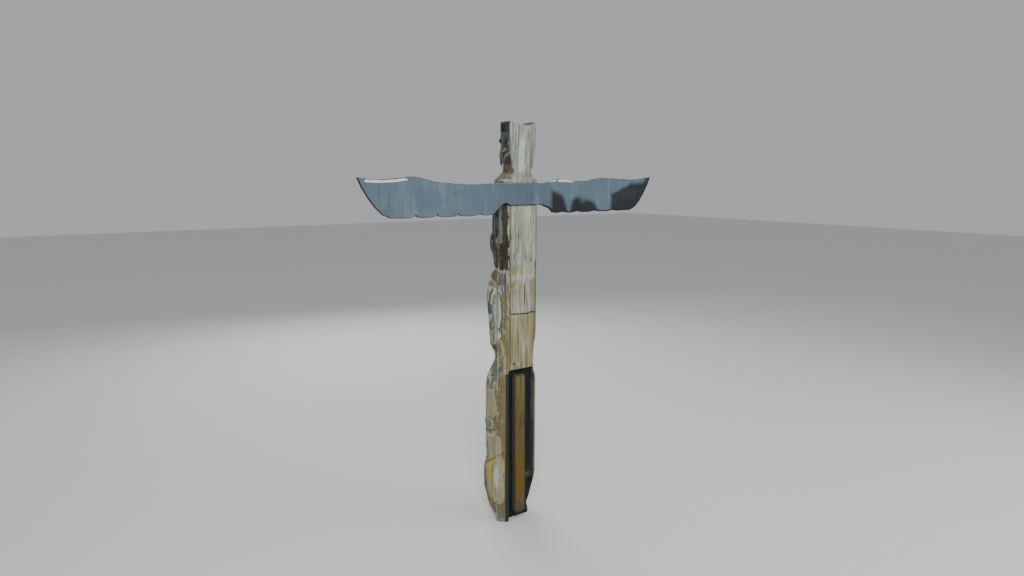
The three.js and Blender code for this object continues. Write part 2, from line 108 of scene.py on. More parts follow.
class Wire:
    """A number or colour running between shader nodes, with arithmetic for the numbers."""

    def __init__(self, shader: "Shader", socket: bpy.types.NodeSocket) -> None:
        """Wraps a socket."""
        self.shader = shader
        self.socket = socket

    def _maths(self, operation: str, *values: "Wire | float") -> "Wire":
        """Adds one Math node."""
        node = self.shader.node("ShaderNodeMath", {"operation": operation}, dict(enumerate(values)))
        return Wire(self.shader, node.outputs[0])

    def __add__(self, other: "Wire | float") -> "Wire":
        """Adds."""
        return self._maths("ADD", self, other)

    def __radd__(self, other: float) -> "Wire":
        """Adds to a number."""
        return self._maths("ADD", other, self)

    def __sub__(self, other: "Wire | float") -> "Wire":
        """Takes away."""
        return self._maths("SUBTRACT", self, other)

    def __rsub__(self, other: float) -> "Wire":
        """Takes this from a number."""
        return self._maths("SUBTRACT", other, self)

    def __mul__(self, other: "Wire | float") -> "Wire":
        """Multiplies."""
        return self._maths("MULTIPLY", self, other)

    def __rmul__(self, other: float) -> "Wire":
        """Multiplies a number."""
        return self._maths("MULTIPLY", other, self)

    def __truediv__(self, other: "Wire | float") -> "Wire":
        """Divides."""
        return self._maths("DIVIDE", self, other)

    def lay(self, tint: "Wire | Rgb", mask: "Wire | float") -> None:
        """Lays a colour over this one where the mask is 1, so that the wire then carries the mix."""
        self.socket = self.shader.mix(self, tint, mask).socket

    def absolute(self) -> "Wire":
        """The value without its sign."""
        return self._maths("ABSOLUTE", self)

    def largest(self, other: "Wire | float") -> "Wire":
        """The larger of two values."""
        return self._maths("MAXIMUM", self, other)

    def ramp(self, low: float, high: float) -> "Wire":
        """Rises smoothly from 0 at low to 1 at high.

        Args:
            low: Where the rise starts.
            high: Where it ends, above low.

        Returns:
            The step.
        """
        settings = {"interpolation_type": "SMOOTHSTEP", "clamp": True}
        inputs = {"Value": self, "From Min": low, "From Max": high}
        node = self.shader.node("ShaderNodeMapRange", settings, inputs)
        return Wire(self.shader, node.outputs["Result"])

    def within(self, low: float, high: float, soft: float) -> "Wire":
        """Is 1 between two values and fades out over a soft edge inside them."""
        return self.ramp(low, low + soft) * (1 - self.ramp(high - soft, high))


class Shader:
    """A material under construction: its nodes, its shader and the relief that its bumps add up to."""

    def __init__(self, name: str) -> None:
        """Starts an empty material.

        Args:
            name: The material's name.
        """
        self.material = bpy.data.materials.new(name)
        self.material.use_nodes = True
        self.tree = self.material.node_tree
        self.tree.nodes.clear()
        self.surface = self.node("ShaderNodeBsdfPrincipled", {}, {})
        self.node("ShaderNodeOutputMaterial", {}, {"Surface": Wire(self, self.surface.outputs[0])})
        self.place = Wire(self, self.node("ShaderNodeTexCoord", {}, {}).outputs["Object"])
        split = self.node("ShaderNodeSeparateXYZ", {}, {0: self.place})
        self.x, self.y, self.z = (Wire(self, split.outputs[i]) for i in range(3))
        facing = self.node("ShaderNodeSeparateXYZ", {}, {0: self.facing()})
        self.faces_back = Wire(self, facing.outputs[1])
        self.faces_up = Wire(self, facing.outputs[2])

    def node(
        self,
        kind: str,
        settings: Mapping[str, object],
        inputs: "Mapping[str | int, Wire | float | Sequence[float]]",
    ) -> bpy.types.Node:
        """Adds one node.

        Args:
            kind: The node's type.
            settings: Its own properties, which are set first.
            inputs: Values or wires by socket name or number.

        Returns:
            The node.
        """
        node = self.tree.nodes.new(kind)
        for key, value in settings.items():
            setattr(node, key, value)
        for key, value in inputs.items():
            socket = node.inputs[key]
            if isinstance(value, Wire):
                self.tree.links.new(value.socket, socket)
            else:
                socket.default_value = value
        return node

    def facing(self) -> Wire:
        """The true outward direction of the surface, which bumps don't change."""
        return Wire(self, self.node("ShaderNodeNewGeometry", {}, {}).outputs["True Normal"])

    def attribute(self, name: str) -> Wire:
        """A number stored on the mesh."""
        node = self.node("ShaderNodeAttribute", {"attribute_name": name}, {})
        return Wire(self, node.outputs["Fac"])

    def noise(
        self, size: float, stretch: Sequence[float] = (1, 1, 1), detail: float = 3, rough: float = 0.55
    ) -> Wire:
        """Cloudy noise, centred on zero and mostly within plus and minus a half.

        Args:
            size: The size of its largest clouds in metres.
            stretch: How much longer they are along each axis.
            detail: How many finer layers it has.
            rough: How strong the finer layers are.

        Returns:
            The noise.
        """
        scale = tuple(1 / (size * s) for s in stretch)
        offset = (size * 37.1, size * 11.7, size * 5.3)
        moved = {"Vector": self.place, "Scale": scale, "Location": offset}
        place = Wire(self, self.node("ShaderNodeMapping", {}, moved).outputs[0])
        inputs = {"Vector": place, "Scale": 1.0, "Detail": detail, "Roughness": rough}
        node = self.node("ShaderNodeTexNoise", {"noise_dimensions": "3D"}, inputs)
        return Wire(self, node.outputs["Fac"]) - 0.5

    def streaks(self, size: float, length: float, detail: float = 3, rough: float = 0.55) -> Wire:
        """Noise that is drawn out up the piece, to so many times its size."""
        return self.noise(size, (1, 1, length), detail, rough)

    def mix(self, below: "Wire | Rgb", above: "Wire | Rgb", mask: "Wire | float") -> Wire:
        """Lays one colour over another.

        Args:
            below: The colour where the mask is 0.
            above: The colour where it is 1.
            mask: How much of the upper colour shows.

        Returns:
            The mixed colour.
        """
        inputs: dict[str | int, Wire | float | Sequence[float]] = {0: mask}
        for number, colour in ((6, below), (7, above)):
            inputs[number] = colour if isinstance(colour, Wire) else (*colour, 1.0)
        node = self.node("ShaderNodeMix", {"data_type": "RGBA", "blend_type": "MIX"}, inputs)
        return Wire(self, node.outputs[2])

    def finish(
        self,
        colour: Wire,
        roughness: "Wire | float",
        relief: Wire | None = None,
        specular: float = 0.35,
        metallic: float = 0.0,
    ) -> bpy.types.Material:
        """Joins the colour, roughness and relief to the shader.

        Args:
            colour: The base colour.
            roughness: The roughness.
            relief: Heights in metres for the bump.
            specular: How strongly the surface mirrors light.
            metallic: How metallic it is.

        Returns:
            The finished material.
        """
        inputs: dict[str, Wire | float] = {"Base Color": colour, "Roughness": roughness}
        if relief is not None:
            bump = self.node("ShaderNodeBump", {}, {"Strength": 1.0, "Distance": 1.0, "Height": relief})
            inputs["Normal"] = Wire(self, bump.outputs[0])
        for name, value in inputs.items():
            socket = self.surface.inputs[name]
            if isinstance(value, Wire):
                self.tree.links.new(value.socket, socket)
            else:
                socket.default_value = value
        self.surface.inputs["Specular IOR Level"].default_value = specular
        self.surface.inputs["Metallic"].default_value = metallic
        return self.material


@dataclass(frozen=True)
class Recess:
    """The square-cut recess of the lower back, by its distances from the post that stands in it."""

    left_x: float = 0.150
    right_gap: float = 0.099
    head_gap: float = 0.058
    skin: float = 0.004


RECESS = Recess()


@dataclass(frozen=True)
class CedarFinish:
    """Weathered cedar with worn paint, for the carved log."""

    silvered: Rgb = srgb(170, 173, 160)
    lichen: Rgb = srgb(136, 142, 122)
    bare: Rgb = srgb(146, 126, 82)
    stained: Rgb = srgb(134, 118, 70)
    rotten: Rgb = srgb(24, 23, 22)
    bleached_grain: Rgb = srgb(196, 200, 190)
    mottled: Rgb = srgb(112, 112, 92)
    dark_grain: Rgb = srgb(62, 56, 42)
    brown_band: Rgb = srgb(110, 95, 58)
    pale_band: Rgb = srgb(192, 192, 174)
    ingrained_dirt: Rgb = srgb(98, 96, 80)
    pale_belt: Rgb = srgb(176, 182, 176)
    cool_grey: Rgb = srgb(100, 112, 112)
    bleached_head: Rgb = srgb(186, 198, 198)
    edge_brown: Rgb = srgb(66, 52, 36)
    edge_dark: Rgb = srgb(56, 50, 46)
    strip_pale: Rgb = srgb(142, 142, 114)
    strip_dark: Rgb = srgb(112, 100, 86)
    # Recess colours: the floor's near-black and the walls' dim slate-grey are partly painted shade, for the
    # shadow that falls in the recess.
    recess_shadow_black: Rgb = srgb(22, 24, 29)
    recess_shadow_green: Rgb = srgb(44, 50, 48)
    floor_patch: Rgb = srgb(92, 90, 70)
    wall_brown: Rgb = srgb(98, 92, 78)
    wall_grey: Rgb = srgb(58, 58, 56)
    wall_pale: Rgb = srgb(112, 104, 84)
    recess_rim: Rgb = srgb(30, 31, 32)
    sooty: Rgb = srgb(72, 68, 56)
    dark_streak: Rgb = srgb(58, 52, 38)
    pale_streak: Rgb = srgb(172, 170, 150)
    weathered: Rgb = srgb(128, 126, 108)
    blackened: Rgb = srgb(44, 42, 36)
    hollow_darkening: Rgb = srgb(50, 46, 40)
    top_grime: Rgb = srgb(112, 116, 100)
    foot_grey: Rgb = srgb(96, 98, 84)
    grain_depth: float = 0.0013
    adze_depth: float = 0.0022
    paint_edge: float = 0.0024
    wash_edge: float = 0.0070
    paint_loss: float = 0.11
    back_y: float = 0.150
    saw_cut_z: float = 1.958
    seam_x: float = 0.134
    seam_z: tuple[float, float] = (1.44, 2.42)
    check_x: float = -0.020
    check_z: tuple[float, float] = (2.010, 2.256)
    knots: tuple[tuple[float, float, float, float], ...] = (
        (-0.092, 2.430, 0.0060, 0.0150),
        (-0.028, 2.456, 0.0050, 0.0100),
        (-0.083, 2.792, 0.0040, 0.0180),
    )

    def cracks(self, s: Shader) -> Wire:
        """The seam, the saw cut and the drying checks of the flat back.

        Args:
            s: The shader.

        Returns:
            1 in a crack, fading to 0 beside it.
        """
        wander = s.noise(0.35) * 0.012
        seam = (s.x - self.seam_x + wander).absolute()
        seam_mask = (1 - seam.ramp(0.002, 0.006)) * s.z.within(*self.seam_z, 0.12)
        sag = (0.133 - s.x) * 0.070 - (1 - s.x.ramp(-0.078, -0.056)) * 0.013
        cut = (s.z - self.saw_cut_z + sag + s.noise(0.08) * 0.005).absolute()
        cut_mask = (1 - cut.ramp(0.003, 0.007)) * s.x.within(-0.128, 0.133, 0.008)
        check = (s.x - self.check_x + wander).absolute()
        check_mask = (1 - check.ramp(0.0020, 0.0070)) * s.z.within(*self.check_z, 0.06)
        for x, z, half, tall in self.knots:
            across, up = (s.x - x) / half, (s.z - z) / tall
            check_mask = check_mask.largest(0.9 - (across * across + up * up).ramp(0.2, 1.3) * 0.9)
        fine = (seam_mask * 0.62).largest(check_mask * 0.8)
        return fine.largest(cut_mask * 0.92) * s.y.ramp(self.back_y - 0.01, self.back_y)

    def splits(self, s: Shader) -> Wire:
        """Fine vertical drying splits all over the wood.

        Args:
            s: The shader.

        Returns:
            1 in a split, fading to 0 beside it.
        """
        lines = s.streaks(0.024, 26, 2).absolute()
        zones = s.streaks(0.30, 2.2, 2)
        return (1 - lines.ramp(0.004, 0.020)) * zones.ramp(0.02, 0.14)

    def bare_wood(self, s: Shader) -> Wire:
        """The colour of the unpainted, weathered wood.

        Args:
            s: The shader.

        Returns:
            The colour.
        """
        streaks = s.streaks(0.020, 22, 4)
        fine = s.streaks(0.0045, 30, 3)
        patches = s.streaks(0.22, 1.8, 4)
        wood = s.mix(self.silvered, self.lichen, (patches + streaks * 0.7).ramp(-0.16, 0.20))
        wood.lay(self.bare, (streaks * 1.1 - patches * 0.8).ramp(0.02, 0.34) * 0.7)
        wood.lay(self.bleached_grain, (streaks * -1.2 + fine * 0.5 - patches * 0.4).ramp(0.08, 0.34) * 0.6)
        mottle = s.streaks(0.030, 6, 4)
        wood.lay(self.mottled, (mottle + fine * 0.4).ramp(0.05, 0.30) * 0.6)
        return s.mix(wood, self.dark_grain, (fine + streaks * 0.5).ramp(0.06, 0.26) * 0.65)

    def back_stains(self, s: Shader, wood: Wire) -> Wire:
        """Adds the ochre stains of the flat back and the brown of its edges.

        Args:
            s: The shader.
            wood: The colour below.

        Returns:
            The stained colour.
        """
        back = s.y.ramp(self.back_y - 0.012, self.back_y)
        blot = s.streaks(0.07, 1.8, 4)
        fibre = s.streaks(0.012, 30, 3)
        left = (s.x + blot * 0.10 + fibre * 0.04).ramp(-0.03, 0.05)
        right = 1 - (s.x + blot * 0.08 + fibre * 0.05).ramp(-0.118, -0.045)
        height = s.z + blot * 0.16 + fibre * 0.10
        upper = height.within(2.310, 2.420, 0.03) * left
        middle = height.within(2.10, 2.270, 0.04) * left.largest(right)
        low = 1 - s.z.ramp(1.90, 2.00)
        side = right * s.z.within(1.50, 2.46, 0.06)
        blotch = upper * 0.5 + middle * 0.66 + low * 0.60 + side * 0.36 + blot * 1.3 + fibre * 1.2
        colour = s.mix(wood, self.stained, (blotch - 0.16).ramp(0.0, 0.62) * 0.74 * back)
        bands = s.streaks(0.036, 9, 4) + fibre * 0.5
        colour.lay(self.brown_band, (bands + low * 0.07).ramp(0.05, 0.25) * 0.72 * back)
        colour.lay(self.pale_band, (bands * -1.0).ramp(0.08, 0.28) * 0.55 * back)
        ingrained = (s.streaks(0.018, 9, 5, 0.7) + fibre * 0.6).ramp(0.05, 0.30)
        colour.lay(self.ingrained_dirt, ingrained * 0.6 * back)
        colour.lay(self.pale_belt, (height.within(2.250, 2.330, 0.035) + fibre).ramp(0.3, 1.1) * 0.5 * back)
        cool = s.z.ramp(3.10, 3.20) * back
        colour.lay(self.cool_grey, (blot * 0.8 + fibre * 1.8).ramp(-0.16, 0.16) * 0.75 * cool)
        drift = s.x + blot * 0.11 + fibre * 0.12
        bleached = drift.within(-0.046, 0.072, 0.045) * s.z.within(3.12, 3.55, 0.12)
        bleached = bleached * 1.2 + blot + fibre * 2.0 - 0.5
        colour.lay(self.bleached_head, bleached.ramp(0.05, 0.45) * 0.8 * back)
        rim = (1 - s.faces_back.ramp(0.70, 0.98)) * s.y.ramp(0.122, 0.142) * (1 - s.x.ramp(-0.09, -0.06))
        near = (1 - s.x.ramp(-0.130, -0.104)) * 0.5 * (1 - s.z.ramp(2.36, 2.46))
        worn = rim * 0.9 + near * back + fibre * 0.8 + blot * 0.5
        colour.lay(self.edge_brown, worn.ramp(0.25, 0.8) * 0.8)
        edge = (1 - (s.x + blot * 0.02).ramp(-0.134, -0.112)) * s.z.within(3.27, 3.61, 0.05)
        colour.lay(self.edge_dark, (edge + fibre * 0.8).ramp(0.3, 0.8) * 0.75 * edge)
        line = s.z.within(1.535, 3.02, 0.05) * s.x.within(0.118, 0.141, 0.006) * back
        dark_part = s.z.within(2.37, 2.98, 0.03)
        strip = s.mix(self.strip_pale, self.strip_dark, dark_part)
        return s.mix(colour, strip, (line + fibre * 0.8).ramp(0.2, 0.7) * s.x.ramp(0.10, 0.118) * 0.8 * back)

    def recess(self, s: Shader, colour: Wire) -> Wire:
        """Darkens the recess of the lower back with painted shade over its own colour: a near-black floor for
        the shadow in it, dim slate-grey walls, the paler patch of its floor, and a near-black rim beside its
        +X edge.

        Args:
            s: The shader.
            colour: The colour elsewhere.

        Returns:
            The colour with the recess in it.
        """
        cloud = s.streaks(0.12, 2.2, 4)
        streaks = s.streaks(0.016, 24, 4)
        # Painted shadow: the recess floor near-black.
        floor = s.mix(self.recess_shadow_black, self.recess_shadow_green, (cloud + streaks * 0.7).ramp(-0.02, 0.36))
        patch = s.z.within(0.31, 0.45, 0.05) * (1 - s.x.ramp(-0.085, -0.05))
        floor.lay(self.floor_patch, (patch + cloud * 1.6 + streaks * 1.2 - 0.35).ramp(0.2, 0.9) * 0.7)
        wall = s.mix(self.wall_brown, self.wall_grey, (cloud + streaks * 0.8).ramp(-0.15, 0.25))
        wall.lay(self.wall_pale, (streaks * 1.2 - cloud).ramp(0.16, 0.40) * 0.7)
        # The floor, facing back, takes the darkest painted shade; the walls stay dim slate-grey.
        inside = s.mix(wall, floor, s.faces_back.ramp(0.35, 0.75))
        low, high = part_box("support_post")
        across = s.x.within(low[0] - RECESS.right_gap - RECESS.skin, RECESS.left_x + RECESS.skin, 0.0015)
        deep = s.y.within(low[1] - RECESS.skin, high[1] - 0.0025, 0.0015)
        under = 1 - s.z.ramp(high[2] + RECESS.head_gap + 0.001, high[2] + RECESS.head_gap + 0.004)
        colour.lay(inside, across * deep * under)
        side = s.x.ramp(RECESS.left_x - 0.006, RECESS.left_x)
        rim = s.y.ramp(0.138, 0.146) * side * (1 - s.z.ramp(1.40, 1.44))
        return s.mix(colour, self.recess_rim, (rim + streaks * 0.8).ramp(0.3, 0.7) * 0.92 * rim)

    def painted(self, s: Shader, wood: Wire) -> tuple[Wire, Wire]:
        """Lays the worn paints over the wood.

        Args:
            s: The shader.
            wood: The colour below.

        Returns:
            The colour, and 1 where there is paint.
        """
        sooty = s.z.within(2.36, 2.99, 0.03).largest(s.z.ramp(3.22, 3.27)) * (1 - s.y.ramp(0.142, 0.154))
        wood.lay(self.sooty, sooty * 0.72)
        chips = s.streaks(0.050, 2.6, 6, 0.68)
        flakes = s.streaks(0.011, 7, 4, 0.7)
        ragged = s.streaks(0.020, 2.4, 4) * 0.016 + s.streaks(0.005, 4, 2) * 0.004
        worn = s.attribute("ridge")
        wear = chips + flakes * 0.75 + worn * 0.55 - self.paint_loss
        gone = wear.ramp(0, 0.07) * (1 - s.z.ramp(3.53, 3.57) * 0.8)
        drift = s.streaks(0.075, 3.4, 6, 0.62)
        fade = s.noise(0.30, detail=3)
        dust = s.streaks(0.006, 5, 2)
        colour, cover = wood, None
        for paint, tint in PAINT_COLOUR.items():
            sheet = s.mix(tint, faded(tint), (fade + dust * 0.4).ramp(-0.10, 0.30) * 0.7)
            soft = self.wash_edge if paint in SOFT_PAINTS else self.paint_edge
            if paint in SOFT_PAINTS:
                sheet.lay(tuple(c * 1.42 for c in tint), drift.ramp(0.02, 0.24) * 0.6)
                sheet.lay(tuple(c * 0.56 for c in tint), (drift * -1.0).ramp(0.02, 0.24) * 0.6)
            reach = 2.2 if paint in SOFT_PAINTS else 1.0
            mask = (s.attribute(paint.value) + ragged * reach).ramp(-soft, soft) * (1 - gone)
            colour.lay(sheet, mask)
            cover = mask if cover is None else cover.largest(mask)
        return colour, cover

    def material(self) -> bpy.types.Material:
        """Makes the material.

        Returns:
            The material.
        """
        s = Shader("weathered_cedar")
        wood = self.back_stains(s, self.bare_wood(s))
        colour, cover = self.painted(s, wood)
        streaked = s.streaks(0.014, 20, 4) + s.streaks(0.05, 8, 3) * 0.6
        colour.lay(self.dark_streak, streaked.ramp(0.04, 0.34) * 0.55)
        colour.lay(self.pale_streak, (streaked * -1.0).ramp(0.12, 0.42) * 0.30)
        weather = s.streaks(0.032, 3.4, 6, 0.7)
        colour.lay(self.weathered, (weather * cover).ramp(0.05, 0.24) * 0.5)
        colour.lay(self.blackened, (weather * -1.0).ramp(0.07, 0.28) * 0.50)
        # Darker in the hollows of the carving.
        cavity = s.attribute("hollow")
        colour.lay(self.hollow_darkening, cavity.ramp(0.12, 0.9) * 0.55)
        grime = (s.streaks(0.16, 3, 5) + s.faces_up * 0.5).ramp(0.14, 0.52)
        colour.lay(self.top_grime, grime * (0.45 - s.z.ramp(3.50, 3.56) * 0.3))
        foot = (0.16 - s.z + s.noise(0.12, detail=4) * 0.24).ramp(0, 0.16)
        colour.lay(self.foot_grey, foot * 0.6)
        # Painted shade in the recess of the lower back.
        colour = self.recess(s, colour)
        cracks = self.cracks(s)
        splits = self.splits(s)
        rot = s.attribute("rot")
        colour.lay(self.rotten, cracks.largest(splits * 0.75))
        colour.lay(self.rotten, (rot + s.streaks(0.03, 4) * 0.5).ramp(0.35, 0.65) * 0.94)
        adze = s.streaks(0.055, 0.75, 1) * (1 - s.faces_back.ramp(0.7, 0.95))
        grain = s.streaks(0.0042, 34, 3) * (1 - cover * 0.65)
        relief = adze * self.adze_depth + grain * self.grain_depth - cracks * 0.010 - splits * 0.0022
        relief = relief + cover * 0.0004 - rot * s.streaks(0.012, 5, 4).absolute() * 0.02
        roughness = 0.88 - cover * 0.22 + s.noise(0.02) * 0.12
        return s.finish(colour, roughness, relief)


@dataclass(frozen=True)
class PlankFinish:
    """Painted boards of the wing: slate-blue behind, feathers in worn paint in front."""

    slate: Rgb = srgb(84, 103, 115)
    pale_slate: Rgb = srgb(106, 122, 131)
    blotch: Rgb = srgb(7, 10, 13)
    edge: Rgb = srgb(12, 14, 18)
    bare: Rgb = srgb(142, 136, 118)
    white: Rgb = srgb(216, 214, 202)
    drip_slate: Rgb = srgb(72, 92, 100)
    violet_slate: Rgb = srgb(92, 102, 122)
    speck: Rgb = srgb(150, 164, 168)
    middle_slate: Rgb = srgb(64, 82, 94)
    green_blotch: Rgb = srgb(24, 36, 38)
    pale_panel: Rgb = srgb(116, 132, 138)
    dark_panel: Rgb = srgb(66, 80, 86)
    bare_grey: Rgb = srgb(112, 104, 88)
    front_dirt: Rgb = srgb(74, 72, 62)
    pale_top: Rgb = srgb(150, 152, 140)
    hollow_darkening: Rgb = srgb(40, 38, 34)

    def material(self) -> bpy.types.Material:
        """Makes the material.

        Returns:
            The material.
        """
        s = Shader("painted_plank")
        behind = s.faces_back.ramp(0.55, 0.80)
        cloud = s.noise(0.30, (1.6, 1, 0.7), detail=4)
        specks = s.noise(0.010, detail=3)
        drips = s.streaks(0.016, 26, 3)
        back = s.mix(self.slate, self.pale_slate, (cloud * 1.2 + drips * 0.8).ramp(-0.05, 0.45))
        back.lay(self.drip_slate, (drips - cloud * 0.4).ramp(0.03, 0.26) * 0.6)
        back.lay(self.violet_slate, (cloud * -1.0 + drips * 0.5).ramp(0.02, 0.30) * 0.5)
        back.lay(self.speck, specks.ramp(0.20, 0.30) * 0.4)
        back.lay(self.middle_slate, (1 - (s.x.absolute() + cloud * 0.3).ramp(0.16, 0.46)) * 0.38)
        # Dark patches along the lower edge and tip of the back, greenish in places.
        mark = s.attribute("blotch") + s.noise(0.07, detail=3) * 0.030 + drips * 0.012
        dark_blotch = s.mix(self.blotch, self.green_blotch, (cloud + drips * 0.8).ramp(-0.02, 0.28))
        panels = s.streaks(0.060, 9, 3)
        back.lay(self.pale_panel, panels.ramp(0.06, 0.22) * 0.45)
        back.lay(self.dark_panel, (panels * -1.0 + specks * 0.3).ramp(0.10, 0.26) * 0.5)
        back.lay(dark_blotch, mark.ramp(-0.028, 0.026) * 0.95)
        # White slivers along the top edge of the back.
        back.lay(self.white, (s.attribute("white_sliver") + s.noise(0.012) * 0.006).ramp(-0.0015, 0.0015))
        front = s.mix(self.bare, self.bare_grey, s.noise(0.016, (22, 1, 1), detail=4).ramp(0, 0.25))
        chips = s.noise(0.05, (2.6, 1, 1), detail=6, rough=0.68) + s.noise(0.012, (6, 1, 1), detail=4) * 0.8
        gone = (chips + s.attribute("ridge") * 0.6 - 0.13).ramp(0, 0.07)
        ragged = s.noise(0.01) * 0.003
        cover: Wire | float = 0.0
        for paint, tint in PAINT_COLOUR.items():
            mask = (s.attribute(paint.value) + ragged).ramp(-0.0016, 0.0016) * (1 - gone)
            front.lay(s.mix(tint, faded(tint), cloud.ramp(-0.05, 0.3) * 0.7), mask)
            cover = mask if cover == 0.0 else cover.largest(mask)
        front.lay(self.front_dirt, (s.noise(0.09, (2, 1, 1), detail=5) + drips * 0.5).ramp(0.02, 0.26) * 0.55)
        colour = s.mix(front, back, behind)
        rim = (1 - s.faces_back.absolute().ramp(0.55, 0.80)) * (1 - s.faces_up.ramp(0.1, 0.5) * 0.8)
        border = (s.attribute("border") + s.noise(0.02) * 0.006).ramp(-0.003, 0.003)
        colour.lay(self.edge, rim.largest(border) * 0.95)
        # Paler on the faces that face up.
        colour.lay(self.pale_top, s.faces_up.ramp(0.4, 0.9) * (0.75 + cloud * 0.6))
        # Darker in the hollows.
        colour.lay(self.hollow_darkening, s.attribute("hollow").ramp(0.15, 0.9) * 0.5)
        grain = s.noise(0.0045, (40, 1, 1), detail=3)
        relief = grain * 0.0007 + s.noise(0.05, (2, 1, 1), detail=2) * 0.0016 + gone * -0.0003
        return s.finish(colour, 0.66 + s.noise(0.04) * 0.2, relief)


@dataclass(frozen=True)
class PostFinish:
    """Bare brown timber, golden in the middle, greyed at the foot and slate-grey on its sides."""

    brown: Rgb = srgb(95, 80, 46)
    olive: Rgb = srgb(100, 92, 55)
    golden: Rgb = srgb(102, 80, 24)
    greyed: Rgb = srgb(78, 70, 56)
    side: Rgb = srgb(82, 78, 68)
    dark: Rgb = srgb(52, 42, 26)
    pale_streak: Rgb = srgb(168, 142, 84)
    fine_streak: Rgb = srgb(124, 108, 62)
    side_brown: Rgb = srgb(86, 76, 60)
    split: Rgb = srgb(26, 22, 18)
    rotten: Rgb = srgb(28, 26, 24)
    golden_z: tuple[float, float] = (0.16, 0.74)
    olive_low: float = 1.05
    grey_top: float = 0.20

    def material(self) -> bpy.types.Material:
        """Makes the material.

        Returns:
            The material.
        """
        s = Shader("post_timber")
        streaks = s.streaks(0.012, 26, 4)
        fine = s.streaks(0.004, 34, 3)
        cloud = s.streaks(0.16, 2.5, 4)
        colour = s.mix(self.brown, self.olive, (s.z + cloud * 0.5 - self.olive_low).ramp(-0.1, 0.2))
        colour.lay(self.golden, (s.z + cloud * 0.15).within(*self.golden_z, 0.16) * 0.85)
        colour.lay(self.pale_streak, (streaks * -1.0 + cloud * 0.4).ramp(0.10, 0.36) * 0.35)
        colour.lay(self.dark, (streaks + fine * 0.6).ramp(0.02, 0.26) * 0.75)
        colour.lay(self.fine_streak, (fine * -1.0 - streaks * 0.6).ramp(0.06, 0.26) * 0.4)
        colour.lay(self.greyed, (self.grey_top - s.z + cloud * 0.14 + streaks * 0.06).ramp(0, 0.06) * 0.85)
        side = s.mix(self.side, self.side_brown, (streaks + cloud).ramp(0.0, 0.35) * 0.7)
        turned = 1 - s.faces_back.ramp(0.45, 0.8)
        colour.lay(side, turned * (1 - s.faces_up.absolute().ramp(0.5, 0.8)))
        worn = s.attribute("ridge").ramp(0.1, 0.7)
        colour.lay(self.dark, worn * 0.75)
        lines = s.streaks(0.018, 30, 2).absolute()
        splits = (1 - lines.ramp(0.003, 0.014)) * cloud.ramp(0.0, 0.12)
        colour.lay(self.split, splits * 0.85)
        rotten = (0.09 - s.z + s.streaks(0.03, 3, 4) * 0.10).ramp(0, 0.03)
        colour.lay(self.rotten, rotten * 0.9)
        relief = fine * 0.0010 + streaks * 0.0012 - splits * 0.0028
        return s.finish(colour, 0.80 + streaks * 0.15, relief, 0.3)


@dataclass(frozen=True)
class BoltFinish:
    """A galvanised bolt head, bright or rusted."""

    name: str
    metal: Rgb
    rust: float
    rusted: Rgb = srgb(84, 50, 34)

    def material(self) -> bpy.types.Material:
        """Makes the material.

        Returns:
            The material.
        """
        s = Shader(self.name)
        patch = (s.noise(0.010, detail=4) + self.rust).ramp(0, 0.2)
        colour = s.mix(self.metal, self.rusted, patch)
        return s.finish(colour, 0.42 + patch * 0.4, s.noise(0.003) * 0.0004, metallic=0.2)


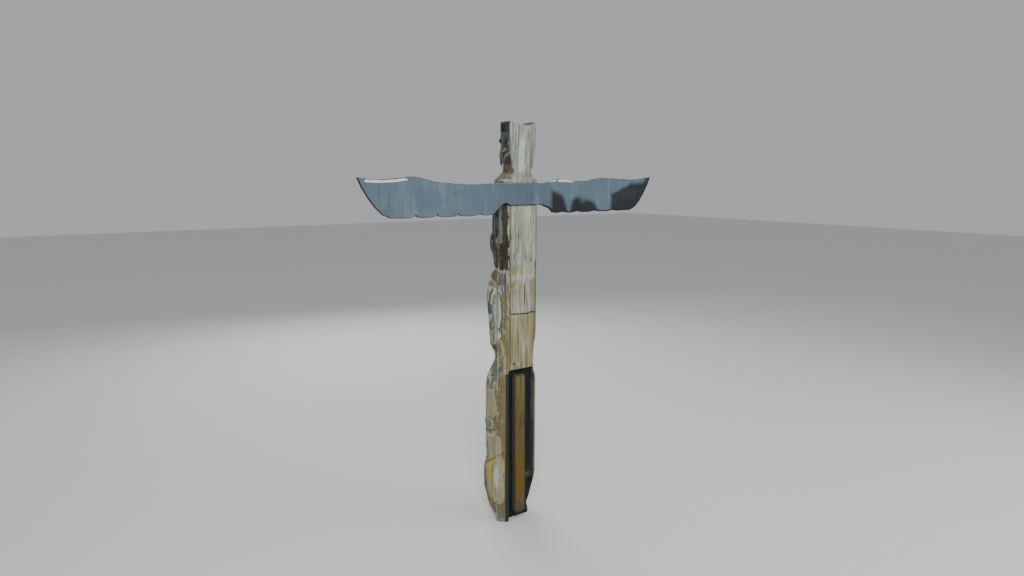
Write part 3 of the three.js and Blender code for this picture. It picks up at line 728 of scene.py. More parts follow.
class Relief:
    """The vertices of a carved surface as arrays, with shapes measured on it as distances to their edges."""

    WRAP_RADIUS = 0.22  # of the log, on which round and around are measured from the middle of the front
    REACH = 0.05  # distances are stored up to this, inside and outside an edge
    FAR = 0.5  # well outside any shape
    ROUNDS = 4  # how often the surface is averaged for its ridges and hollows

    def __init__(self, mesh: bpy.types.Mesh) -> None:
        """Reads the vertices.

        Args:
            mesh: The mesh, with its place in its vertices.
        """
        self.mesh = mesh
        count = len(mesh.vertices)
        flat = np.empty(count * 3)
        mesh.vertices.foreach_get("co", flat)
        self.points = flat.reshape(-1, 3)
        normals = np.empty(count * 3)
        mesh.vertices.foreach_get("normal", normals)
        self.normals = normals.reshape(-1, 3)
        self.x, self.y, self.z = self.points.T
        self.across = np.abs(self.x)
        self.round = self.WRAP_RADIUS * np.arctan2(self.across, -self.y)
        self.around = np.where(self.x < 0, -self.round, self.round)
        self.sheets = {paint: np.full(count, -1.0) for paint in Paint}

    def put(self, paint: Paint | None, shape: Array) -> None:
        """Paints a shape over what is there, or strips it bare."""
        for other, sheet in self.sheets.items():
            self.sheets[other] = np.maximum(sheet, shape) if other is paint else np.minimum(sheet, -shape)

    def line(self, paint: Paint, route: Sequence[tuple[float, float]], width: float) -> None:
        """Paints a line round the log."""
        self.put(paint, self.stroke(self.round, route, width))

    def spot(self, paint: Paint, *sizes: float) -> None:
        """Paints an oval on the log, with the sizes that oval takes."""
        self.put(paint, self.oval(self.round, *sizes))

    def field(self, paint: Paint, *sizes: float) -> None:
        """Paints a rectangle on the log, with the sizes that panel takes."""
        self.put(paint, self.panel(self.round, *sizes))

    def rings(self, centre: Sequence[float], *layers: tuple[Paint, tuple[float, float, float]]) -> None:
        """Paints the surface within ellipsoids round one centre, each over the last."""
        for paint, radii in layers:
            self.put(paint, self.ball(centre, radii))

    def ahead(self, shape: Array, y: float) -> Array:
        """Keeps a shape to the surface in front of a depth."""
        return shape - self.FAR * (self.y > y)

    def clipped(self, shape: Array) -> Array:
        """Limits a shape's distances to what is stored."""
        return np.clip(shape, -self.REACH, self.REACH)

    def ball(self, centre: Sequence[float], radii: Sequence[float], mirrored: bool = True) -> Array:
        """An ellipsoid in space, on both sides of the log.

        Args:
            centre: Its centre, on the +X side.
            radii: Its three radii.
            mirrored: Whether it is on the -X side too.

        Returns:
            The distance inside it.
        """
        x = self.across if mirrored else self.x
        away = np.stack([(v - c) / r for v, c, r in zip((x, self.y, self.z), centre, radii)])
        return (1 - np.linalg.norm(away, axis=0)) * min(radii)

    def oval(
        self, across: Array, middle: float, height: float, half: float, tall: float, lean: float = 0
    ) -> Array:
        """An oval on the surface.

        Args:
            across: The coordinate across the surface.
            middle: Its centre across.
            height: Its centre's height.
            half: Half its width.
            tall: Half its height.
            lean: How far it is turned, in radians.

        Returns:
            The distance inside it.
        """
        u, v = across - middle, self.z - height
        c, s = math.cos(lean), math.sin(lean)
        away = np.hypot((u * c + v * s) / half, (v * c - u * s) / tall)
        return (1 - away) * min(half, tall)

    def panel(
        self, across: Array, left: float, right: float, low: float, high: float, corner: float = 0.012
    ) -> Array:
        """A rectangle with rounded corners on the surface.

        Args:
            across: The coordinate across the surface.
            left: Its lower limit across.
            right: Its upper limit across.
            low: Its foot.
            high: Its top.
            corner: The radius of its corners.

        Returns:
            The distance inside it.
        """
        du = np.abs(across - (left + right) / 2) - (right - left) / 2 + corner
        dv = np.abs(self.z - (low + high) / 2) - (high - low) / 2 + corner
        outside = np.hypot(np.maximum(du, 0), np.maximum(dv, 0))
        return corner - outside - np.minimum(np.maximum(du, dv), 0)

    def stroke(self, across: Array, route: Sequence[tuple[float, float]], width: float) -> Array:
        """A line of one width on the surface.

        Args:
            across: The coordinate across the surface.
            route: Its points, across and up.
            width: Its width.

        Returns:
            The distance inside it.
        """
        nearest = np.full(len(self.z), np.inf)
        for (u0, v0), (u1, v1) in zip(route, route[1:]):
            du, dv = u1 - u0, v1 - v0
            along = np.clip(((across - u0) * du + (self.z - v0) * dv) / (du * du + dv * dv), 0, 1)
            nearest = np.minimum(nearest, np.hypot(across - u0 - along * du, self.z - v0 - along * dv))
        return width / 2 - nearest

    def arch(
        self, across: Array, middle: float, foot: float, half: float, tall: float, width: float
    ) -> Array:
        """A line in the form of a U, the traditional feather form, open at the top.

        Args:
            across: The coordinate across the surface.
            middle: Its centre across.
            foot: The height of its foot.
            half: Half its width.
            tall: Its height.
            width: The line's width.

        Returns:
            The distance inside the line.
        """
        turn = np.linspace(math.pi, 2 * math.pi, 9)
        bend = [(middle + half * math.cos(t), foot + half + half * math.sin(t)) for t in turn]
        return self.stroke(across, [(middle - half, foot + tall), *bend, (middle + half, foot + tall)], width)

    def store(self) -> None:
        """Writes the paints to the mesh."""
        for paint, sheet in self.sheets.items():
            self.write(paint.value, self.clipped(sheet))

    def write(self, name: str, values: Array) -> None:
        """Stores a number for each vertex."""
        layer = self.mesh.attributes.new(name, "FLOAT", "POINT")
        layer.data.foreach_set("value", values.astype(np.float32))

    def lift(self, heights: Array) -> None:
        """Moves the surface out along its normals.

        Args:
            heights: The distance for each vertex, in metres.
        """
        self.points += self.normals * heights[:, None]
        self.mesh.vertices.foreach_set("co", self.points.ravel())
        self.mesh.update()

    def store_curvature(self, radius: float) -> None:
        """Stores how much each vertex stands out of or lies in the surface around it.

        Args:
            radius: The height over its neighbours that counts as full, in metres.
        """
        edges = np.empty(len(self.mesh.edges) * 2, dtype=np.int64)
        self.mesh.edges.foreach_get("vertices", edges)
        a, b = edges.reshape(-1, 2).T
        count = len(self.z)
        neighbours = np.maximum(np.bincount(np.concatenate([a, b]), minlength=count), 1)[:, None]
        ring = self.points
        for _ in range(self.ROUNDS):
            sums = [np.bincount(a, ring[b, k], count) + np.bincount(b, ring[a, k], count) for k in range(3)]
            ring = np.stack(sums, axis=1) / neighbours
        height = np.einsum("ij,ij->i", self.points - ring, self.normals) / radius
        self.write("ridge", np.clip(height, 0, 1))
        self.write("hollow", np.clip(-height, 0, 1))


@dataclass(frozen=True)
class Scallops:
    """The rows of feather scallops on the thunderbird's breast, each row shifted by half a scallop."""

    rows: int = 5
    beside: int = 3
    low: float = 2.66
    rise: float = 0.085
    pitch: float = 0.072
    half_width: float = 0.17
    tall: float = 0.07

    def places(self) -> list[tuple[int, float, float]]:
        """Lists the scallops.

        Returns:
            The row, the middle and the foot of each.
        """
        grid = product(range(self.rows), range(-self.beside, self.beside + 1))
        found = [(row, self.pitch * (k + row % 2 / 2), self.low + self.rise * row) for row, k in grid]
        return [place for place in found if abs(place[1]) < self.half_width]


SCALLOPS = Scallops()


@dataclass
class ThunderbirdPaint:
    """The painting of the top figure."""

    chin: float = 3.25
    foot: float = 2.345
    eye: tuple[float, float, float] = (0.080, -0.042, 3.428)

    def apply(self, r: Relief) -> None:
        """Paints the figure.

        Args:
            r: The log's surface.
        """
        front = r.round
        head = r.panel(front, -1, 0.60, self.chin + 0.01, 3.7, 0.002)
        r.put(Paint.BROWN, np.minimum(head, r.panel(front, -1, 1, 3.0, 3.40, 0.002)))
        r.put(Paint.TEAL, np.minimum(head, r.panel(front, -1, 1, 3.375, 3.56, 0.002)))
        r.put(Paint.BLACK, np.minimum(head, r.panel(front, -1, 1, 3.540, 3.7, 0.002)))
        r.line(Paint.SAGE, [(0.33, 3.385), (0.38, 3.42), (0.43, 3.49), (0.44, 3.53)], 0.018)
        r.line(Paint.BONE, [(0.40, 3.375), (0.47, 3.40), (0.515, 3.45)], 0.014)
        r.line(Paint.SAGE, [(0.40, 3.29), (0.46, 3.34), (0.52, 3.36)], 0.022)
        r.spot(Paint.BROWN, 0.478, 3.44, 0.026, 0.040)
        r.rings(
            self.eye,
            (Paint.BLACK, (0.070, 0.072, 0.052)),
            (Paint.WHITE, (0.056, 0.062, 0.038)),
            (Paint.BLACK, (0.027, 0.060, 0.026)),
        )
        brow = r.stroke(r.across, [(0.015, 3.462), (0.06, 3.487), (0.135, 3.468)], 0.032)
        r.put(Paint.BLACK, r.ahead(brow, 0.03))
        beak = np.minimum(r.ball((0, -0.14, 3.33), (0.062, 0.105, 0.16), False), -r.y - 0.072)
        r.put(Paint.OCHRE, beak)
        r.put(Paint.BLACK, np.minimum(beak, 3.29 - r.z))
        r.put(Paint.RED, r.ball((0, -0.125, 3.302), (0.052, 0.052, 0.022), False))
        r.put(Paint.RED, r.ball((0, -0.10, 3.340), (0.080, 0.05, 0.016), False))
        r.field(Paint.RUST, -1, 0.57, 3.180, self.chin + 0.004, 0.002)
        r.field(Paint.OLIVE, 0.46, 0.57, 3.180, 3.226, 0.002)
        r.field(Paint.SAGE, 0.20, 0.57, 3.06, 3.178, 0.01)
        for u, z in ((0.300, 3.135), (0.352, 3.150), (0.505, 3.118), (0.440, 3.165), (0.395, 3.120)):
            r.spot(Paint.BROWN, u, z, 0.014, 0.030, 0.4)
        self.body(r)

    def body(self, r: Relief) -> None:
        """Paints the breast, the flanks and the legs.

        Args:
            r: The log's surface.
        """
        r.field(Paint.BROWN, -1, 0.60, self.foot, 2.98, 0.004)
        r.field(Paint.WHITE, -1, 0.20, 2.60, 3.12, 0.05)
        for row, middle, foot in SCALLOPS.places():
            tint = Paint.BLACK if row % 2 else Paint.RED
            r.put(tint, r.arch(r.around, middle, foot, 0.026, SCALLOPS.tall, 0.011))
        r.line(Paint.SAGE, [(0.446, 2.98), (0.440, 2.86), (0.428, 2.76)], 0.034)
        r.line(Paint.SAGE, [(0.428, 2.77), (0.436, 2.68), (0.422, 2.62)], 0.060)
        r.spot(Paint.SAGE, 0.410, 2.604, 0.050, 0.026)
        r.line(Paint.BLACK, [(0.384, 2.96), (0.380, 2.78), (0.366, 2.63)], 0.020)
        r.line(Paint.SAGE, [(0.344, 2.90), (0.341, 2.80), (0.350, 2.66)], 0.010)
        r.field(Paint.BLACK, 0.29, 0.333, 2.63, 2.93, 0.004)
        r.spot(Paint.RED, 0.408, 2.548, 0.034, 0.011)
        r.put(Paint.BLACK, r.ball((0.116, -0.084, 2.574), (0.078, 0.112, 0.140)))
        r.put(Paint.OCHRE, r.ball((0.092, -0.165, 2.556), (0.040, 0.052, 0.090)))
        # Painted highlights: two small slate ovals on the dark haunch.
        r.spot(Paint.PLUM, 0.252, 2.503, 0.012, 0.022)
        r.spot(Paint.PLUM, 0.272, 2.428, 0.012, 0.020)
        r.put(Paint.OCHRE, r.ahead(r.panel(r.across, 0.044, 0.118, 2.40, 2.58, 0.01), -0.12))
        r.field(Paint.RED, -1, 0.044, 2.375, 2.62, 0.012)
        r.field(Paint.BLACK, -0.1, 0.012, 2.385, 2.60, 0.004)
        r.put(Paint.BLACK, r.ahead(r.panel(r.across, 0.030, 0.13, 2.33, 2.41, 0.01), -0.12))


@dataclass
class RavenPaint:
    """The painting of the middle figure."""

    foot: float = 1.535
    crown: float = 2.345
    eye: tuple[float, float, float] = (0.092, -0.152, 2.216)

    def apply(self, r: Relief) -> None:
        """Paints the figure.

        Args:
            r: The log's surface.
        """
        r.field(Paint.BONE, -1, 0.60, 2.12, self.crown + 0.004, 0.01)
        r.line(Paint.BROWN, [(0.27, 2.356), (0.40, 2.362), (0.55, 2.366)], 0.020)
        r.field(Paint.BLACK, -1, 0.338, 2.258, self.crown - 0.014, 0.012)
        r.line(Paint.TAN, [(0.336, 2.300), (0.346, 2.226)], 0.046)
        r.line(Paint.TAN, [(0.255, 2.208), (0.34, 2.220), (0.405, 2.212)], 0.030)
        r.line(Paint.BROWN, [(0.305, 2.268), (0.318, 2.240)], 0.020)
        r.field(Paint.SAGE, 0.405, 0.500, 2.13, 2.325, 0.02)
        r.line(Paint.PLUM, [(0.341, 2.325), (0.346, 2.262)], 0.018)
        r.line(Paint.PLUM, [(0.426, 2.322), (0.438, 2.226)], 0.036)
        r.line(Paint.PLUM, [(0.488, 2.330), (0.490, 2.160)], 0.024)
        r.line(Paint.BONE, [(0.24, 2.193), (0.33, 2.199), (0.43, 2.200)], 0.012)
        brow = r.stroke(r.across, [(0.02, 2.262), (0.09, 2.292), (0.16, 2.262)], 0.034)
        r.put(Paint.TEAL, r.ahead(brow, -0.07))
        r.rings(
            self.eye,
            (Paint.WHITE, (0.064, 0.074, 0.044)),
            (Paint.BLACK, (0.050, 0.066, 0.033)),
            (Paint.WHITE, (0.040, 0.060, 0.025)),
            (Paint.BLACK, (0.022, 0.060, 0.019)),
        )
        self.breast(r)
        self.wing(r)
        beak = np.minimum(0.062 - r.across - (2.24 - r.z) * 0.085, -r.y - 0.160)
        beak = np.minimum(beak, np.minimum(r.z - 1.79, 2.262 - r.z))
        r.put(Paint.BLACK, beak)
        mouth = r.stroke(r.across, [(0.054, 2.15), (0.044, 2.05), (0.030, 1.93), (0.016, 1.84)], 0.013)
        r.put(Paint.RED, np.minimum(mouth, beak + 0.02))

    def breast(self, r: Relief) -> None:
        """Paints the breast and the feet.

        Args:
            r: The log's surface.
        """
        r.field(Paint.OCHRE, -1, 0.128, 1.66, 2.12, 0.02)
        for row in range(4):
            for middle in (-0.078, 0.0, 0.078):
                tint = Paint.RED if row % 2 else Paint.BLACK
                r.put(tint, r.arch(r.around, middle, 1.68 + 0.10 * row, 0.028, 0.06, 0.012))
        r.field(Paint.RED, -1, 0.24, self.foot + 0.004, 1.655, 0.02)
        r.put(Paint.OCHRE, r.ahead(r.panel(r.across, 0.03, 0.108, 1.545, 1.66, 0.01), -0.13))
        r.put(Paint.BLACK, r.ahead(r.panel(r.across, 0.03, 0.108, 1.530, 1.575, 0.006), -0.13))

    def wing(self, r: Relief) -> None:
        """Paints the folded wing of the flank.

        Args:
            r: The log's surface.
        """
        front = r.round
        wing = r.panel(front, 0.152, 0.456, 1.690, 2.19, 0.05)
        rear = [(0.395, 2.185), (0.442, 2.136), (0.456, 2.046), (0.464, 1.945)]
        rear += [(0.448, 1.839), (0.462, 1.760), (0.438, 1.708)]
        r.field(Paint.OLIVE, 0.40, 0.60, 1.56, 2.15, 0.01)
        r.put(Paint.WHITE, wing)
        r.line(Paint.BROWN, rear, 0.012)
        vein = r.stroke(front, [(0.40, 2.16), (0.396, 2.10), (0.384, 2.05)], 0.012)
        r.put(Paint.BROWN, np.minimum(wing, vein))
        r.line(Paint.BROWN, [(0.340, 2.165), (0.322, 2.10), (0.314, 2.06)], 0.022)
        r.line(Paint.OLIVE, [(0.378, 2.12), (0.366, 2.05), (0.338, 1.93), (0.320, 1.87)], 0.016)
        r.line(Paint.BROWN, [(0.366, 2.07), (0.350, 1.98), (0.336, 1.925), (0.320, 1.87)], 0.010)
        for left in (0.170, 0.222):
            r.line(Paint.BROWN, [(left + 0.03, 1.70), (left + 0.026, 1.84), (left + 0.01, 2.0)], 0.009)
            r.field(Paint.PLUM, left - 0.010, left + 0.016, 1.70, 1.77, 0.012)
        r.put(Paint.TEAL, np.minimum(wing, r.panel(front, 0.15, 0.334, 1.930, 2.046, 0.03)))
        r.put(Paint.BROWN, np.minimum(wing, r.panel(front, 0.15, 0.330, 1.785, 1.862, 0.02)))
        r.put(Paint.PLUM, np.minimum(wing, r.stroke(front, [(0.352, 1.90), (0.362, 1.82)], 0.014)))
        r.line(Paint.TAN, [(0.345, 1.85), (0.340, 1.80)], 0.012)
        r.spot(Paint.OLIVE, 0.438, 1.812, 0.012, 0.022)
        r.line(Paint.BROWN, [(0.318, 1.77), (0.330, 1.70)], 0.014)
        r.spot(Paint.BROWN, 0.250, 2.092, 0.076, 0.060)
        r.spot(Paint.BONE, 0.250, 2.092, 0.062, 0.047)
        r.spot(Paint.BROWN, 0.240, 2.098, 0.030, 0.024)
        r.field(Paint.OLIVE, 0.28, 0.47, 1.50, 1.69, 0.03)
        wedge = np.minimum(0.335 + (r.z - 1.56) * 0.80 - front, front - 0.262)
        wedge = np.minimum(wedge, np.minimum(1.694 - r.z, r.z - 1.556))
        r.put(Paint.RUST, wedge)
        r.put(Paint.OCHRE, np.minimum(wedge, r.z - 1.678))
        # A pale bone stroke on the olive below the wing: paler paint and a painted highlight.
        r.line(Paint.BONE, [(0.452, 1.712), (0.470, 1.640), (0.474, 1.590)], 0.022)


@dataclass
class BearPaint:
    """The painting of the bottom figure."""

    crown: float = 1.50
    eye: tuple[float, float, float] = (0.100, -0.188, 1.226)
    joint: tuple[float, float] = (0.330, 0.922)

    def apply(self, r: Relief) -> None:
        """Paints the figure.

        Args:
            r: The log's surface.
        """
        front = r.round
        r.field(Paint.OLIVE, -1, 0.60, 0.03, 1.58, 0.01)
        r.field(Paint.SAGE, -1, 0.45, 1.37, self.crown + 0.01, 0.03)
        r.line(Paint.BONE, [(0.492, 1.57), (0.488, 1.42)], 0.020)
        r.spot(Paint.BONE, 0.318, 1.118, 0.088, 0.150, 0.08)
        r.spot(Paint.SAGE, 0.346, 1.318, 0.050, 0.072)
        turn = [(0.302, 1.352), (0.318, 1.378), (0.350, 1.380), (0.384, 1.330)]
        turn += [(0.374, 1.274), (0.340, 1.253), (0.305, 1.261)]
        r.line(Paint.BLACK, turn, 0.013)
        r.spot(Paint.BLACK, 0.310, 1.350, 0.024, 0.020)
        r.line(Paint.WHITE, [(0.300, 1.240), (0.340, 1.236), (0.378, 1.250)], 0.010)
        for tint, size in ((Paint.BLACK, 1.0), (Paint.RED, 0.62), (Paint.OCHRE, 0.30)):
            r.put(tint, np.minimum(r.oval(front, 0.150, 1.432, 0.052 * size, 0.058 * size), -r.y))
        self.face(r)
        self.limbs(r)

    def face(self, r: Relief) -> None:
        """Paints the face.

        Args:
            r: The log's surface.
        """
        brow = r.stroke(r.across, [(0.02, 1.268), (0.10, 1.302), (0.20, 1.258)], 0.046)
        r.put(Paint.BLACK, r.ahead(brow, -0.08))
        r.rings(
            self.eye,
            (Paint.BLACK, (0.074, 0.084, 0.052)),
            (Paint.WHITE, (0.060, 0.078, 0.040)),
            (Paint.BLACK, (0.028, 0.078, 0.028)),
        )
        r.put(Paint.RED, r.ball((0, -0.262, 1.122), (0.074, 0.062, 0.048), False))
        r.put(Paint.BLACK, r.ball((0.038, -0.268, 1.116), (0.021, 0.030, 0.017)))
        r.put(Paint.RED, r.ahead(r.panel(r.across, -0.2, 0.152, 0.950, 1.046, 0.03), -0.12))
        r.put(Paint.BLACK, r.ahead(r.panel(r.across, -0.2, 0.132, 0.984, 1.034, 0.02), -0.12))
        for tooth in range(3):
            u = 0.030 * tooth
            r.put(Paint.WHITE, r.ahead(r.panel(r.across, u - 0.013, u + 0.013, 0.992, 1.040, 0.003), -0.16))

    def limbs(self, r: Relief) -> None:
        """Paints the arms, the joint discs, the belly and the legs.

        Args:
            r: The log's surface.
        """
        front = r.round
        r.field(Paint.BONE, 0.24, 0.452, 0.57, 0.82, 0.02)
        r.line(Paint.SAGE, [(0.270, 0.76), (0.285, 0.66), (0.275, 0.57)], 0.040)
        r.line(Paint.BONE, [(0.282, 0.812), (0.335, 0.796), (0.385, 0.834)], 0.046)
        r.line(Paint.WHITE, [(0.300, 0.812), (0.340, 0.806), (0.372, 0.828)], 0.018)
        r.line(Paint.OCHRE, [(0.355, 0.858), (0.400, 0.856)], 0.012)
        middle, height = self.joint
        r.spot(Paint.BROWN, middle, height, 0.064, 0.067)
        r.spot(Paint.BONE, middle, height, 0.053, 0.057)
        r.spot(Paint.SAGE, middle - 0.014, height + 0.002, 0.040, 0.050)
        r.spot(Paint.BROWN, middle - 0.024, height + 0.012, 0.014, 0.012)
        r.spot(Paint.BLACK, 0.270, 0.838, 0.018, 0.016, -0.5)
        r.field(Paint.WHITE, -1, 0.100, 0.52, 0.93, 0.03)
        for row in range(3):
            for middle in (-0.055, 0.055):
                tint = Paint.RED if row % 2 else Paint.TEAL
                r.put(tint, r.arch(r.around, middle, 0.535 + 0.07 * row, 0.026, 0.05, 0.012))
        r.put(Paint.OCHRE, r.ball((0.078, -0.215, 0.735), (0.085, 0.062, 0.080)))
        r.put(Paint.BLACK, r.ahead(r.panel(r.across, 0.018, 0.118, 0.655, 0.712, 0.01), -0.19))
        thigh = r.oval(front, 0.190, 0.300, 0.100, 0.172)
        r.put(Paint.BLACK, thigh)
        r.put(Paint.RED, thigh - 0.014)
        r.spot(Paint.WHITE, 0.185, 0.330, 0.060, 0.082)
        r.spot(Paint.BLACK, 0.180, 0.338, 0.034, 0.040)
        r.field(Paint.BONE, 0.305, 0.480, 0.17, 0.640, 0.07)
        r.line(Paint.OCHRE, [(0.296, 0.492), (0.372, 0.556), (0.440, 0.618)], 0.048)
        r.spot(Paint.OCHRE, 0.330, 0.47, 0.036, 0.145, -0.08)
        r.line(Paint.OLIVE, [(0.376, 0.535), (0.366, 0.42), (0.372, 0.30)], 0.012)
        r.spot(Paint.WHITE, 0.412, 0.435, 0.022, 0.110)
        r.line(Paint.BROWN, [(0.402, 0.31), (0.420, 0.20), (0.438, 0.10)], 0.008)
        r.line(Paint.OLIVE, [(0.452, 0.62), (0.456, 0.30)], 0.012)
        # Painted shadow under the carved step of the leg: a soft rust band with a thin brown line along the
        # step.
        step = [(-0.3, 0.505), (0.200, 0.500), (0.261, 0.516), (0.358, 0.584), (0.439, 0.650), (0.470, 0.668)]
        r.line(Paint.RUST, step, 0.018)
        r.line(Paint.BROWN, step, 0.009)
        r.field(Paint.TEAL, -0.1, 0.052, 0.16, 0.46, 0.02)
        foot = r.ball((0.090, -0.144, 0.066), (0.083, 0.090, 0.076))
        r.put(Paint.BLACK, foot + 0.008)
        r.put(Paint.OCHRE, foot)


def replica(node: str, name: str, voxel: float, smoothing: int) -> bpy.types.Object:
    """Copies a solid as an even, softened mesh that finer relief can be worked into.

    Args:
        node: The solid's node.
        name: The new piece's name.
        voxel: The size of the new mesh's squares, in metres.
        smoothing: How many times its corners are eased.

    Returns:
        The new piece.
    """
    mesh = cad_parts[node].data.copy()
    copy = bpy.data.objects.new(name, mesh)
    bpy.context.scene.collection.objects.link(copy)
    form = bmesh.new()
    form.from_mesh(mesh)
    bmesh.ops.remove_doubles(form, verts=form.verts, dist=1e-5)
    form.to_mesh(mesh)
    form.free()
    remesh = copy.modifiers.new("even", "REMESH")
    remesh.mode = "VOXEL"
    remesh.voxel_size = voxel
    graph = bpy.context.evaluated_depsgraph_get()
    even = bpy.data.meshes.new_from_object(copy.evaluated_get(graph))
    copy.modifiers.clear()
    copy.data = even
    form = bmesh.new()
    form.from_mesh(even)
    for _ in range(smoothing):
        bmesh.ops.smooth_vert(
            form, verts=form.verts, factor=0.5, use_axis_x=True, use_axis_y=True, use_axis_z=True
        )
    form.to_mesh(even)
    form.free()
    even.shade_smooth()
    even.name = name
    return copy


def settle(
    piece: bpy.types.Object, material: bpy.types.Material, nodes: Iterable[str] = ()
) -> None:
    """Gives a piece its material and its place in the record, and reports it.

    Args:
        piece: The piece.
        material: Its material.
        nodes: The solids that it stands for.
    """
    piece.data.materials.clear()
    piece.data.materials.append(material)
    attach(piece, "root")
    if nodes:
        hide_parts(*nodes)
    piece.data.calc_loop_triangles()
    LOG.info("%s: %d triangles", piece.name, len(piece.data.loop_triangles))


@dataclass
class CarvedLog:
    """The log with its three carved figures."""

    voxel: float = 0.0084
    finish: CedarFinish = field(default_factory=CedarFinish)
    figures: Sequence[ThunderbirdPaint | RavenPaint | BearPaint] = field(
        default_factory=lambda: (ThunderbirdPaint(), RavenPaint(), BearPaint())
    )
    rot_corner: tuple[float, float] = (-0.150, 0.150)
    rot_reach: float = 0.125
    rot_height: float = 0.45
    cut_depth: float = 0.004
    slope: float = 0.004  # how far a cut takes to reach its depth
    quills: Sequence[float] = (0.221, 0.279, 0.337)
    quill_z: tuple[float, float] = (1.65, 1.95)
    rings: Sequence[tuple[float, float, float, float]] = (
        (0.330, 0.922, 0.060, 0.063),
        (0.250, 2.092, 0.070, 0.050),
    )
    ring_width: float = 0.007
    uncut_y: float = 0.12
    back: tuple[float, float] = (0.140, 0.146)  # where the bare back starts, across and in depth

    def build(self) -> bpy.types.Object:
        """Builds and dresses the log.

        Returns:
            The piece.
        """
        piece = replica("pole", "carved_log", self.voxel, 2)
        surface = Relief(piece.data)
        self.carve(surface)
        surface = Relief(piece.data)
        for figure in self.figures:
            figure.apply(surface)
        surface.put(None, np.minimum(surface.y - self.back[1], self.back[0] - surface.x))
        surface.store()
        surface.store_curvature(0.0045)
        surface.write("rot", self.rot(surface))
        settle(piece, self.finish.material(), ["pole"])
        return piece

    def rot(self, r: Relief) -> Array:
        """Where the lower corner of the back is decayed.

        Args:
            r: The log's surface.

        Returns:
            1 in the decay and 0 away from it.
        """
        away = np.hypot(r.x - self.rot_corner[0], r.y - self.rot_corner[1])
        near = np.clip((self.rot_reach - away) / 0.03, 0, 1)
        return near * np.clip((self.rot_height - r.z) / 0.18, 0, 1) * (r.y < 0.1535)

    def carve(self, r: Relief) -> None:
        """Cuts the feather scallops, quills and joints into the surface.

        Args:
            r: The log's surface.
        """
        cut = np.zeros(len(r.z))
        for _, middle, foot in SCALLOPS.places():
            line = r.arch(r.around, middle, foot, 0.031, SCALLOPS.tall, 0.012)
            cut = np.maximum(cut, np.clip(line / self.slope, 0, 1))
        for u in self.quills:
            line = r.stroke(r.round, [(u, self.quill_z[0]), (u, self.quill_z[1])], 0.014)
            cut = np.maximum(cut, np.clip(line / 0.005, 0, 1))
        for middle, height, half, tall in self.rings:
            line = self.ring_width - np.abs(r.oval(r.round, middle, height, half, tall))
            cut = np.maximum(cut, np.clip(line / self.slope, 0, 1))
        cut[r.y > self.uncut_y] = 0
        r.lift(-self.cut_depth * cut)


